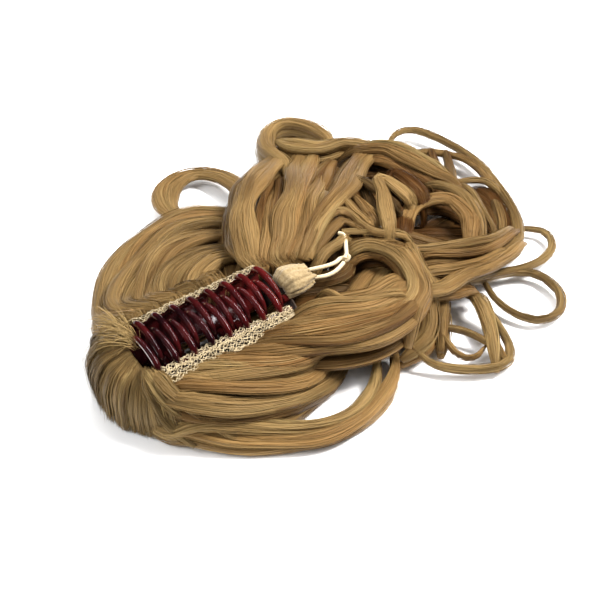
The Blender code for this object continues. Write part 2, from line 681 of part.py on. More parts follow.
def make_net(collection, material):
    steps = net_steps()
    rings = [net_ring(row, 0.0, steps) for row in NET_SECTION]
    count = len(rings[0])
    vertices = [v for ring in rings for v in ring]
    faces = [tuple(range(count))]
    for r in range(len(rings) - 1):
        for k in range(count):
            if 0 < k < steps - 1 and r in NET_GAP_ROWS and (k + NET_GAP_ROWS.index(r)) % 2:
                continue
            here = r * count + k
            beside = r * count + (k + 1) % count
            faces.append((here, beside, beside + count, here + count))
    mesh = mesh_from_parts("net_base", vertices, faces)
    mesh.transform(claw_matrix())
    net = object_from_mesh("net_base", mesh, collection, material)
    wall = net.modifiers.new("wall", "SOLIDIFY")
    wall.thickness = NET_WALL
    wall.offset = 0.0
    wall.use_even_offset = True
    shade_round(net, 60.0)
    return net


def make_well_cutter(cutters):
    # The net's own outside with its clearance, open straight up past the band
    steps = NET_FAR_STEPS
    outward = NET_WALL / 2 + CLEARANCE * 3
    rings = [net_ring(row, outward, steps, outward) for row in NET_SECTION[:6]]
    for row in NET_SECTION[6:]:
        ring = net_ring(row, outward, steps)
        rings.append([v - Vector((0, 0, NET_WALL + CLEARANCE)) for v in ring])
    matrix = claw_matrix()
    rings = [[matrix @ v for v in ring] for ring in rings]
    rings.append([Vector((v.x, v.y, WELL_TOP)) for v in rings[-1]])
    cutter = object_from_mesh("net_well", loft_rings("net_well", rings), cutters)
    hide_cutter(cutter)
    return cutter


# Hood and draw elastic

def hood_start():
    _, end = jaw_ends()
    bulge = net_half_width() * NET_END_BULGE + NET_BAND_NEAR * NET_END_FLARE
    return end + NET_FIT + NET_WALL + bulge + CLEARANCE


def hood_rings(outward, gather):
    rings = []
    for row in HOOD_SECTIONS:
        x = hood_start() + row.along * HOOD_LENGTH
        y = row.centre_y * HOOD_HALF_WIDTH
        z = HOOD_HEIGHT + row.centre_z * HOOD_HALF_HEIGHT
        ring = []
        for k in range(HOOD_RING_POINTS):
            angle = 2 * math.pi * k / HOOD_RING_POINTS
            fold = gather * row.along * math.cos(HOOD_GATHERS * angle)
            wide = row.half_width * HOOD_HALF_WIDTH + outward + fold
            deep = row.half_height * HOOD_HALF_HEIGHT + outward + fold
            ring.append(Vector((x, y + wide * math.cos(angle), z + deep * math.sin(angle))))
        rings.append(ring)
    return rings


def make_hood(collection, material):
    mesh = loft_rings("hood", hood_rings(0.0, HOOD_GATHER_DEPTH), closed_ends=False)
    hood = object_from_mesh("hood", mesh, collection, material)
    wall = hood.modifiers.new("wall", "SOLIDIFY")
    wall.thickness = HOOD_WALL
    wall.offset = 0.0
    shade_round(hood, 60.0)
    return hood


def make_hood_cutter(cutters):
    rings = hood_rings(HOOD_WALL / 2 + HOOD_GATHER_DEPTH + CLEARANCE, 0.0)
    first = [v - Vector((CLEARANCE * 4, 0, 0)) for v in rings[0]]
    last = [v + Vector((CLEARANCE * 4, 0, 0)) for v in rings[-1]]
    cutter = object_from_mesh("hood_seat", loft_rings("hood_seat", [first] + rings + [last]), cutters)
    hide_cutter(cutter)
    return cutter


def make_cord(name, route, collection, material):
    curve = bpy.data.curves.new(name, "CURVE")
    curve.dimensions = "3D"
    curve.bevel_depth = ELASTIC_DIAMETER / 2
    curve.bevel_resolution = 2
    curve.use_fill_caps = True
    points = smooth_route(route, 2)
    spline = curve.splines.new("POLY")
    spline.points.add(len(points) - 1)
    for slot, point in zip(spline.points, points):
        slot.co = (*point, 1.0)
    item = bpy.data.objects.new(name, curve)
    collection.objects.link(item)
    curve.materials.append(material)
    return item


def make_knot(collection, material):
    # A tight overhand knot: one lumpy ball with its turns as low ridges
    work = bmesh.new()
    bmesh.ops.create_uvsphere(work, u_segments=14, v_segments=9, radius=0.5)
    for vertex in work.verts:
        turn = math.atan2(vertex.co.y, vertex.co.x)
        ridge = 1.0 + 0.10 * math.cos(3 * turn + 5 * vertex.co.z)
        vertex.co.x *= KNOT_LENGTH * ridge
        vertex.co.y *= KNOT_WIDTH * ridge
        vertex.co.z *= KNOT_WIDTH
    bmesh.ops.translate(work, vec=Vector(KNOT_CENTRE), verts=work.verts)
    mesh = bpy.data.meshes.new("elastic_knot")
    work.to_mesh(mesh)
    work.free()
    knot = object_from_mesh("elastic_knot", mesh, collection, material)
    shade_round(knot, 60.0)
    return knot


def make_elastic_cutters(cutters):
    radius = ELASTIC_DIAMETER / 2 + CLEARANCE
    tools = []
    for name, route in (("upper_seat", UPPER_ROUTE), ("lower_seat", LOWER_ROUTE), ("tail_seat", TAIL_ROUTE)):
        spots = smooth_route(route, 2)
        spots[0] = spots[0] - (spots[1] - spots[0]).normalized() * CLEARANCE
        spots[-1] = spots[-1] + (spots[-1] - spots[-2]).normalized() * CLEARANCE
        rings = tube_rings(spots, [(radius, radius)] * len(spots), 12)
        tools.append(object_from_mesh(name, loft_rings(name, rings), cutters))
    work = bmesh.new()
    bmesh.ops.create_uvsphere(work, u_segments=12, v_segments=8, radius=0.5)
    size = Vector((KNOT_LENGTH, KNOT_WIDTH, KNOT_WIDTH)) * 1.1 + Vector((1, 1, 1)) * 2 * CLEARANCE
    bmesh.ops.scale(work, vec=size, verts=work.verts)
    bmesh.ops.translate(work, vec=Vector(KNOT_CENTRE), verts=work.verts)
    mesh = bpy.data.meshes.new("knot_seat")
    work.to_mesh(mesh)
    work.free()
    tools.append(object_from_mesh("knot_seat", mesh, cutters))
    for tool in tools:
        hide_cutter(tool)
    return tools


# Hair

def lock_mesh(name, route, width, end, depth):
    last = len(route) - 1
    radii = []
    for i in range(len(route)):
        taper = min(1.0, 0.55 + 2.2 * min(i, last - i) / last)
        across = width + (end - width) * i / last
        radii.append((across / 2 * taper, depth / 2 * taper))
    return loft_rings(name, tube_rings(route, radii, LOCK_SIDES))


def lock_layers(lock):
    # The lock itself, and the same run again beneath it down to the table
    stations = [Vector((x * FALL_LENGTH, y * FALL_WIDTH, z * PILE_HEIGHT)) for x, y, z in lock.route]
    lowest = lock.depth * LOCK_DEPTH * 0.4
    for layer in range(lock.layers):
        share = 1.0 - layer / lock.layers
        yield [Vector((s.x, s.y, max(s.z * share, lowest))) for s in stations]


def dome_routes():
    start, _ = jaw_ends()
    half = net_half_width()
    matrix = claw_matrix()
    centre = matrix @ Vector((start + half * 0.65, 0, JAW_HEIGHT))
    for row in DOME_LOCKS:
        angle = math.radians(row.angle)
        aim = Vector((math.cos(angle), math.sin(angle), 0))
        tilt = math.sin(angle) * half * math.sin(CLAW_ROLL)
        route = []
        for station in DOME_STATIONS:
            away = half + station.reach * row.reach * DOME_REACH
            height = station.height * (DOME_HEIGHT + tilt)
            route.append(Vector((centre.x + aim.x * away, centre.y + aim.y * away, height)))
        yield route


def bed_mesh():
    # The flat layer of hair that the claw lies on
    start, end = jaw_ends()
    middle = (start + end) / 2
    rings = []
    for level, share in ((-0.2, 0.90), (0.35, 1.00), (0.8, 0.95), (1.0, 0.80)):
        ring = []
        for k in range(24):
            angle = 2 * math.pi * k / 24
            x = middle + BED_HALF_LENGTH * share * math.cos(angle)
            y = BED_HALF_WIDTH * share * math.sin(angle)
            ring.append(Vector((x, y, BED_HEIGHT * level)))
        rings.append(ring)
    return loft_rings("bed", rings)


def hair_locks():
    meshes = [bed_mesh()]
    for route in dome_routes():
        spots = smooth_route(route, LOCK_STEPS)
        meshes.append(lock_mesh("dome", spots, DOME_LOCK_WIDTH, DOME_LOCK_WIDTH, DOME_LOCK_DEPTH))
    for lock in LOCKS:
        for stations in lock_layers(lock):
            spots = smooth_route(stations, LOCK_STEPS)
            wide = lock.width * LOCK_WIDTH
            end = lock.end * LOCK_WIDTH
            meshes.append(lock_mesh(lock.name, spots, wide, end, lock.depth * LOCK_DEPTH))
    return join_meshes("locks", meshes)


def keep_largest_body(mesh):
    work = bmesh.new()
    work.from_mesh(mesh)
    left = set(work.verts)
    groups = []
    while left:
        group = [left.pop()]
        for vertex in group:
            for edge in vertex.link_edges:
                other = edge.other_vert(vertex)
                if other in left:
                    left.remove(other)
                    group.append(other)
        groups.append(group)
    groups.sort(key=len)
    for group in groups[:-1]:
        bmesh.ops.delete(work, geom=group, context="VERTS")
    work.to_mesh(mesh)
    work.free()


def make_hair(collection, cutters, material):
    hair = object_from_mesh("hair", hair_locks(), collection, material)
    fuse = hair.modifiers.new("fuse", "REMESH")
    fuse.mode = "VOXEL"
    fuse.voxel_size = FUSE_VOXEL
    apply_modifiers(hair)
    keep_largest_body(hair.data)
    ease = hair.modifiers.new("ease", "DECIMATE")
    ease.decimate_type = "COLLAPSE"
    ease.ratio = min(1.0, HAIR_FACES / (2 * len(hair.data.polygons)))
    apply_modifiers(hair)
    well = make_well_cutter(cutters)
    boolean(hair, well, "DIFFERENCE")
    for tool in [make_hood_cutter(cutters)] + make_elastic_cutters(cutters):
        boolean(hair, tool, "DIFFERENCE")
    reach = 2 * max(FALL_LENGTH, FALL_WIDTH)
    table = object_from_mesh("table", box_mesh("table", (-reach, -reach, -reach), (reach, reach, 0.0)), cutters)
    hide_cutter(table)
    boolean(hair, table, "DIFFERENCE")
    keep_largest_body(hair.data)
    hair.data.materials.clear()
    hair.data.materials.append(material)
    shade_round(hair, 70.0)
    return hair


def build():
    clear_scene()
    parts = make_collection(COLLECTION_NAME)
    cutters = make_collection(CUTTER_COLLECTION_NAME)
    shell = make_material("claw_plastic", (0.16, 0.025, 0.03), 0.18)
    steel = make_material("pin_steel", (0.45, 0.44, 0.42), 0.35, 1.0)
    crochet = make_material("net_thread", (0.76, 0.66, 0.46), 0.85)
    cloth = make_material("hood_cloth", (0.72, 0.61, 0.36), 0.80)
    elastic = make_material("elastic_cord", (0.90, 0.78, 0.58), 0.65)
    strands = make_material("hair_strands", (0.40, 0.27, 0.13), 0.45)
    make_jaw("near_jaw", -1, 0.0, parts, cutters, shell)
    make_jaw("far_jaw", 1, TOOTH_PITCH / 2, parts, cutters, shell)
    make_hinge_pin(parts, steel)
    make_net(parts, crochet)
    make_hood(parts, cloth)
    make_cord("elastic_upper", UPPER_ROUTE, parts, elastic)
    make_cord("elastic_lower", LOWER_ROUTE, parts, elastic)
    make_cord("elastic_tail", TAIL_ROUTE, parts, elastic)
    make_knot(parts, elastic)
    make_hair(parts, cutters, strands)


build()
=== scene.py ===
import json
import math
from collections import namedtuple

import bpy
import numpy as np
from mathutils import Matrix, Vector

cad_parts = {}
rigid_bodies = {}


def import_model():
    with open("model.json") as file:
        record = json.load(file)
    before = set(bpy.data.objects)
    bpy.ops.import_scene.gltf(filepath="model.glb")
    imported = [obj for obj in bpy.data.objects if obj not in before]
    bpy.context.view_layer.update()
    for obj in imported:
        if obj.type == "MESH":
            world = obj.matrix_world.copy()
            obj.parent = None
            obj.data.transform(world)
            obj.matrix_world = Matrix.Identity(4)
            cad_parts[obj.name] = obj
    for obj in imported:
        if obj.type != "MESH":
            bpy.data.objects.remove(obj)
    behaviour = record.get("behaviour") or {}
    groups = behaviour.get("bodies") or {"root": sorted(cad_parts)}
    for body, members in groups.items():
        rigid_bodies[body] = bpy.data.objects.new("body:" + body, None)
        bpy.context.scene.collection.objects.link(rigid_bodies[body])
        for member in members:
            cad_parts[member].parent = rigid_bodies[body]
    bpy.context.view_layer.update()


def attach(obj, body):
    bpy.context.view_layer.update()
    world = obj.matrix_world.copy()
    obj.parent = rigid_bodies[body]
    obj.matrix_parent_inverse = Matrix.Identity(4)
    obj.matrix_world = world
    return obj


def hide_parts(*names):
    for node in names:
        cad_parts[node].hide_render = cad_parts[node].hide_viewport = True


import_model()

# Sizes, sections, routes and locks as in the part's source, in metres where nothing else is said
CLEARANCE = 0.0003
TOOTH_COUNT = 8
TOOTH_PITCH = 0.010
JAW_START_MARGIN = 0.0026
JAW_END_MARGIN = 0.0076
JAW_THICKNESS = 0.0024
JAW_HALF_WIDTH = 0.0146
JAW_HEIGHT = 0.0180
LEVER_DEPTH = 0.0065
TOOTH_RISE = 0.0056
CLAW_ROLL = math.radians(15.0)
HINGE_Y = 0.0064
HINGE_HEIGHT = 0.0150
KNUCKLE_RADIUS = 0.0033
KNUCKLE_LENGTH = 0.0090
KNUCKLE_GAP = 0.0006
KNUCKLE_PAIR_SPACING = 0.0400
NET_WALL = 0.0012
NET_FIT = 0.0005
NET_FLOOR_DEPTH = 0.0086
NET_BAND_NEAR = 0.0062
NET_BAND_FAR = 0.0030
NET_FRONT_BULGE = 0.06
NET_END_BULGE = 0.20
NET_END_FLARE = 0.15
HOOD_LENGTH = 0.0116
HOOD_HALF_WIDTH = 0.0098
HOOD_HALF_HEIGHT = 0.0066
HOOD_HEIGHT = 0.0325
ELASTIC_DIAMETER = 0.0021
FALL_LENGTH = 0.200
FALL_WIDTH = 0.200
PILE_HEIGHT = 0.040
LOCK_WIDTH = 0.018
LOCK_DEPTH = 0.009
DOME_REACH = 0.028
DOME_HEIGHT = 0.033
BED_HALF_LENGTH = 0.052
BED_HALF_WIDTH = 0.030
BED_HEIGHT = 0.012

Lock = namedtuple("Lock", "name width end depth layers route")
Look = namedtuple("Look", "start tone ash")
Tress = namedtuple("Tress", "name width end depth tone ash route")
DomeRow = namedtuple("DomeRow", "angle reach")
DomeStation = namedtuple("DomeStation", "reach height")
NetRow = namedtuple("NetRow", "width height flare rise")
RimRow = namedtuple("RimRow", "inset level end_level")
ToothPoint = namedtuple("ToothPoint", "half_width rise radius")
JawPoint = namedtuple("JawPoint", "half_width height")
HoodRow = namedtuple("HoodRow", "along centre_y centre_z half_width half_height")

JAW_SECTION = (
    JawPoint(0.58, -1.00),
    JawPoint(0.40, -0.35),
    JawPoint(0.36, 0.06),
    JawPoint(0.56, 0.33),
    JawPoint(0.82, 0.60),
    JawPoint(0.96, 0.84),
    JawPoint(1.00, 1.06),
)

TOOTH_SECTION = (
    ToothPoint(1.00, -0.25, 1.00),
    ToothPoint(0.98, 0.28, 1.00),
    ToothPoint(0.83, 0.70, 1.00),
    ToothPoint(0.54, 0.95, 0.95),
    ToothPoint(0.12, 1.00, 0.85),
    ToothPoint(-0.28, 0.76, 0.65),
    ToothPoint(-0.54, 0.24, 0.40),
    ToothPoint(-0.67, -0.40, 0.10),
    ToothPoint(-0.70, -0.65, 0.00),
)

NET_SECTION = (
    NetRow(0.42, -1.00, 0.0, 0.0),
    NetRow(0.66, -0.90, 0.0, 0.0),
    NetRow(0.76, 0.00, 0.0, 0.0),
    NetRow(0.94, 0.55, 0.0, 0.0),
    NetRow(1.00, 0.85, 0.0, 0.0),
    NetRow(1.00, 0.97, 0.08, 0.06),
    NetRow(1.00, 0.97, 0.38, 0.28),
    NetRow(1.00, 0.97, 0.56, 0.34),
    NetRow(1.00, 0.97, 0.86, 0.28),
    NetRow(1.00, 0.97, 1.00, 0.20),
)

HOOD_SECTIONS = (
    HoodRow(0.00, 0.04, 0.20, 0.92, 0.94),
    HoodRow(0.30, 0.02, 0.22, 0.96, 1.00),
    HoodRow(0.68, -0.04, 0.30, 0.86, 0.84),
    HoodRow(1.00, -0.12, 0.40, 0.68, 0.58),
)

UPPER_ROUTE = (
    (0.0545, 0.0004, 0.0352),
    (0.0585, 0.0004, 0.0358),
    (0.0620, -0.0006, 0.0364),
    (0.0660, -0.0024, 0.0368),
    (0.0710, -0.0042, 0.0370),
    (0.0755, -0.0050, 0.0371),
    (0.0785, -0.0047, 0.0371),
    (0.0812, -0.0038, 0.0371),
)

LOWER_ROUTE = (
    (0.0500, -0.0026, 0.0344),
    (0.0545, -0.0034, 0.0347),
    (0.0590, -0.0044, 0.0347),
    (0.0630, -0.0064, 0.0347),
    (0.0680, -0.0086, 0.0349),
    (0.0730, -0.0090, 0.0352),
    (0.0775, -0.0080, 0.0356),
    (0.0812, -0.0066, 0.0360),
)

KNOT_CENTRE = (0.0845, -0.0048, 0.0368)

TAIL_ROUTE = (
    (0.0870, -0.0020, 0.0370),
    (0.0895, 0.0012, 0.0372),
    (0.0925, 0.0050, 0.0374),
    (0.0952, 0.0088, 0.0374),
    (0.0966, 0.0122, 0.0372),
    (0.0956, 0.0146, 0.0370),
)

DOME_LOCKS = (
    DomeRow(70, 1.00),
    DomeRow(92, 1.00),
    DomeRow(112, 0.90),
    DomeRow(132, 0.74),
    DomeRow(152, 0.58),
    DomeRow(172, 0.48),
    DomeRow(192, 0.44),
    DomeRow(212, 0.48),
    DomeRow(232, 0.58),
    DomeRow(252, 0.72),
    DomeRow(272, 0.86),
)

DOME_STATIONS = (
    DomeStation(-0.05, 0.82),
    DomeStation(0.25, 0.90),
    DomeStation(0.62, 0.78),
    DomeStation(0.88, 0.50),
    DomeStation(0.90, 0.24),
    DomeStation(0.60, 0.12),
)

# The part's locks, less the eight whose place a tress takes: width, width at the end and depth in
# shares of LOCK_WIDTH and LOCK_DEPTH, layers, and places in shares of the fall's length and width and
# of the heap's height
LOCKS = (
    Lock("near_low_outer", 0.70, 0.40, 0.80, 2, (
        (-0.25, -0.05, 0.65), (-0.24, -0.11, 0.42), (-0.17, -0.18, 0.22), (-0.08, -0.27, 0.15),
        (0.05, -0.36, 0.12), (0.17, -0.38, 0.12), (0.27, -0.35, 0.12), (0.35, -0.30, 0.15),
        (0.39, -0.25, 0.28))),
    Lock("near_low_inner", 0.80, 0.35, 0.80, 3, (
        (-0.23, -0.07, 0.68), (-0.21, -0.13, 0.50), (-0.15, -0.19, 0.36), (-0.04, -0.27, 0.24),
        (0.07, -0.33, 0.16), (0.17, -0.35, 0.13), (0.26, -0.32, 0.13), (0.32, -0.27, 0.16),
        (0.34, -0.24, 0.28))),
    Lock("near_middle_1", 1.00, 0.45, 0.95, 3, (
        (-0.21, -0.08, 0.72), (-0.15, -0.17, 0.62), (-0.06, -0.23, 0.48), (0.05, -0.26, 0.34),
        (0.14, -0.25, 0.22), (0.22, -0.23, 0.15), (0.28, -0.20, 0.15))),
    Lock("near_middle_2", 1.00, 0.50, 0.95, 3, (
        (-0.18, -0.09, 0.75), (-0.10, -0.16, 0.68), (0.01, -0.21, 0.54), (0.12, -0.23, 0.36),
        (0.21, -0.20, 0.24), (0.28, -0.17, 0.20))),
    Lock("near_middle_3", 1.00, 0.60, 0.95, 3, (
        (-0.14, -0.10, 0.75), (-0.05, -0.16, 0.70), (0.06, -0.20, 0.58), (0.19, -0.20, 0.40))),
    Lock("near_middle_4", 0.90, 0.60, 0.95, 3, (
        (-0.08, -0.11, 0.75), (0.01, -0.15, 0.70), (0.10, -0.20, 0.62), (0.22, -0.20, 0.46))),
    Lock("upper_1", 0.70, 0.75, 0.95, 1, (
        (-0.01, -0.10, 0.66), (0.08, -0.16, 0.68), (0.19, -0.22, 0.68), (0.29, -0.27, 0.68),
        (0.39, -0.27, 0.70), (0.49, -0.23, 0.72), (0.55, -0.17, 0.75))),
    Lock("upper_2", 0.90, 0.80, 1.00, 2, (
        (0.05, -0.10, 0.70), (0.14, -0.17, 0.74), (0.24, -0.23, 0.76), (0.35, -0.26, 0.78),
        (0.45, -0.24, 0.76))),
    Lock("upper_3", 0.90, 0.80, 1.00, 2, (
        (0.10, -0.10, 0.70), (0.18, -0.16, 0.78), (0.28, -0.22, 0.82), (0.38, -0.24, 0.80),
        (0.50, -0.20, 0.75))),
    Lock("upper_4", 0.90, 0.80, 1.00, 3, (
        (0.17, -0.10, 0.70), (0.25, -0.14, 0.80), (0.34, -0.20, 0.84), (0.45, -0.21, 0.80))),
    Lock("upper_5", 0.80, 0.80, 1.00, 3, (
        (0.25, -0.10, 0.66), (0.30, -0.13, 0.76), (0.38, -0.17, 0.80), (0.47, -0.17, 0.78))),
    Lock("eye_core", 0.60, 0.60, 0.80, 2, (
        (0.40, -0.06, 0.52), (0.49, -0.03, 0.52), (0.52, -0.07, 0.50), (0.48, -0.13, 0.50))),
    Lock("under_hood", 1.10, 0.90, 0.90, 3, (
        (0.20, 0.02, 0.46), (0.25, 0.00, 0.62), (0.30, -0.02, 0.68), (0.37, -0.05, 0.66),
        (0.44, -0.08, 0.62))),
    Lock("under_knot", 0.80, 0.70, 0.80, 3, (
        (0.27, 0.08, 0.60), (0.33, 0.02, 0.76), (0.38, -0.02, 0.83), (0.43, -0.02, 0.84),
        (0.48, 0.03, 0.82))),
    Lock("under_tail", 0.90, 0.90, 0.90, 3, (
        (0.44, 0.00, 0.74), (0.48, 0.06, 0.80), (0.55, 0.07, 0.76), (0.62, 0.03, 0.66))),
    Lock("middle_1", 1.00, 0.90, 1.00, 4, (
        (0.14, 0.10, 0.84), (0.18, 0.14, 0.78), (0.25, 0.24, 0.70), (0.34, 0.36, 0.68),
        (0.47, 0.48, 0.62), (0.60, 0.57, 0.55), (0.71, 0.60, 0.48))),
    Lock("middle_2", 1.00, 0.90, 1.00, 4, (
        (0.19, 0.10, 0.84), (0.30, 0.20, 0.78), (0.42, 0.33, 0.78), (0.54, 0.44, 0.72),
        (0.68, 0.54, 0.58))),
    Lock("middle_3", 1.00, 0.90, 1.00, 4, (
        (0.24, 0.09, 0.84), (0.34, 0.18, 0.85), (0.46, 0.29, 0.88), (0.58, 0.40, 0.82),
        (0.74, 0.52, 0.62))),
    Lock("middle_4", 1.00, 0.90, 1.00, 4, (
        (0.28, 0.07, 0.84), (0.38, 0.14, 0.90), (0.50, 0.22, 0.94), (0.62, 0.34, 0.90),
        (0.80, 0.48, 0.64))),
    Lock("middle_6", 0.90, 0.80, 1.00, 4, (
        (0.36, 0.07, 0.84), (0.42, 0.12, 0.92), (0.54, 0.20, 0.96), (0.70, 0.32, 0.88),
        (0.86, 0.44, 0.66))),
    Lock("back_curl", 0.75, 0.60, 1.10, 3, (
        (0.62, 0.48, 0.60), (0.67, 0.55, 0.55), (0.69, 0.67, 0.50), (0.77, 0.78, 0.42),
        (0.86, 0.81, 0.38), (0.92, 0.75, 0.35), (0.92, 0.65, 0.35), (0.88, 0.58, 0.32))),
    Lock("back_roll", 0.80, 0.75, 1.10, 3, (
        (0.76, 0.70, 0.45), (0.75, 0.62, 0.54), (0.81, 0.56, 0.52), (0.90, 0.56, 0.45),
        (0.98, 0.51, 0.38))),
    Lock("top_across", 0.90, 0.70, 1.00, 3, (
        (0.52, 0.08, 0.76), (0.60, 0.04, 0.80), (0.66, -0.01, 0.78), (0.72, -0.08, 0.68),
        (0.83, -0.12, 0.50), (0.95, -0.13, 0.35))),
    Lock("under_top", 1.60, 1.40, 0.90, 2, (
        (0.60, 0.20, 0.40), (0.76, 0.30, 0.38), (0.90, 0.37, 0.30), (1.03, 0.34, 0.22))),
    Lock("under_ring", 1.60, 1.50, 0.70, 2, (
        (0.60, 0.03, 0.40), (0.74, 0.06, 0.28), (0.86, 0.07, 0.17), (0.98, 0.09, 0.14))),
    Lock("small_ring", 0.22, 0.40, 0.60, 1, (
        (1.00, -0.06, 0.22), (1.07, -0.08, 0.16), (1.11, -0.13, 0.14), (1.07, -0.19, 0.14),
        (1.00, -0.22, 0.16), (0.92, -0.22, 0.18), (0.82, -0.20, 0.25), (0.71, -0.19, 0.38),
        (0.60, -0.15, 0.52))),
    Lock("right_ring", 0.30, 0.30, 0.65, 1, (
        (0.68, -0.19, 0.40), (0.76, -0.20, 0.26), (0.85, -0.20, 0.18), (0.93, -0.25, 0.14),
        (0.92, -0.34, 0.13), (0.85, -0.40, 0.13), (0.78, -0.39, 0.13), (0.75, -0.33, 0.14),
        (0.75, -0.26, 0.18), (0.77, -0.20, 0.24))),
    Lock("low_ring", 0.35, 0.28, 0.65, 1, (
        (0.67, -0.20, 0.44), (0.68, -0.30, 0.25), (0.65, -0.40, 0.15), (0.60, -0.45, 0.13),
        (0.54, -0.44, 0.13), (0.47, -0.39, 0.14), (0.43, -0.34, 0.18), (0.41, -0.29, 0.34))),
    Lock("low_arc", 0.22, 0.22, 0.60, 1, (
        (0.51, -0.27, 0.32), (0.57, -0.31, 0.24), (0.60, -0.38, 0.18), (0.59, -0.45, 0.13))),
    Lock("low_curl", 0.20, 0.20, 0.50, 1, (
        (0.51, -0.30, 0.30), (0.51, -0.36, 0.16), (0.54, -0.39, 0.14), (0.59, -0.38, 0.16))),
    Lock("low_side", 0.32, 0.28, 0.65, 1, (
        (0.70, -0.20, 0.38), (0.66, -0.30, 0.28), (0.62, -0.37, 0.20), (0.60, -0.44, 0.14))),
    Lock("drop_wide", 0.80, 0.45, 0.90, 2, (
        (0.56, -0.16, 0.66), (0.52, -0.24, 0.50), (0.46, -0.29, 0.34), (0.38, -0.29, 0.18))),
    Lock("drop_edge", 0.65, 0.45, 0.80, 2, (
        (0.60, -0.14, 0.58), (0.58, -0.22, 0.45), (0.52, -0.29, 0.28), (0.48, -0.33, 0.18))),
    Lock("left_1", 0.90, 0.90, 1.00, 3, (
        (-0.13, 0.10, 0.86), (-0.16, 0.18, 0.68), (-0.15, 0.24, 0.55), (-0.06, 0.35, 0.50),
        (0.06, 0.46, 0.45), (0.18, 0.52, 0.40), (0.30, 0.53, 0.38), (0.40, 0.46, 0.40))),
    Lock("left_2", 1.00, 0.90, 1.00, 4, (
        (-0.08, 0.10, 0.88), (-0.11, 0.17, 0.75), (-0.10, 0.23, 0.65), (-0.01, 0.33, 0.58),
        (0.09, 0.41, 0.52), (0.20, 0.45, 0.50), (0.30, 0.43, 0.50), (0.36, 0.38, 0.50))),
    Lock("left_3", 1.00, 0.90, 1.00, 4, (
        (-0.02, 0.10, 0.88), (-0.06, 0.16, 0.75), (-0.05, 0.21, 0.66), (0.03, 0.30, 0.62),
        (0.12, 0.36, 0.58), (0.22, 0.37, 0.55), (0.31, 0.34, 0.55))),
    Lock("left_4", 1.00, 0.90, 1.00, 4, (
        (0.04, 0.10, 0.88), (0.00, 0.14, 0.75), (0.00, 0.18, 0.68), (0.06, 0.25, 0.65),
        (0.15, 0.29, 0.62), (0.26, 0.28, 0.60))),
    Lock("left_5", 0.90, 0.90, 1.00, 4, (
        (0.09, 0.10, 0.88), (0.06, 0.14, 0.75), (0.11, 0.20, 0.68), (0.18, 0.22, 0.68),
        (0.24, 0.20, 0.70))),
    Lock("left_loop", 0.95, 0.70, 0.80, 1, (
        (0.27, 0.55, 0.32), (0.30, 0.66, 0.23), (0.36, 0.75, 0.18), (0.44, 0.79, 0.16),
        (0.50, 0.77, 0.16), (0.53, 0.69, 0.20), (0.51, 0.57, 0.28), (0.44, 0.44, 0.40))),
)

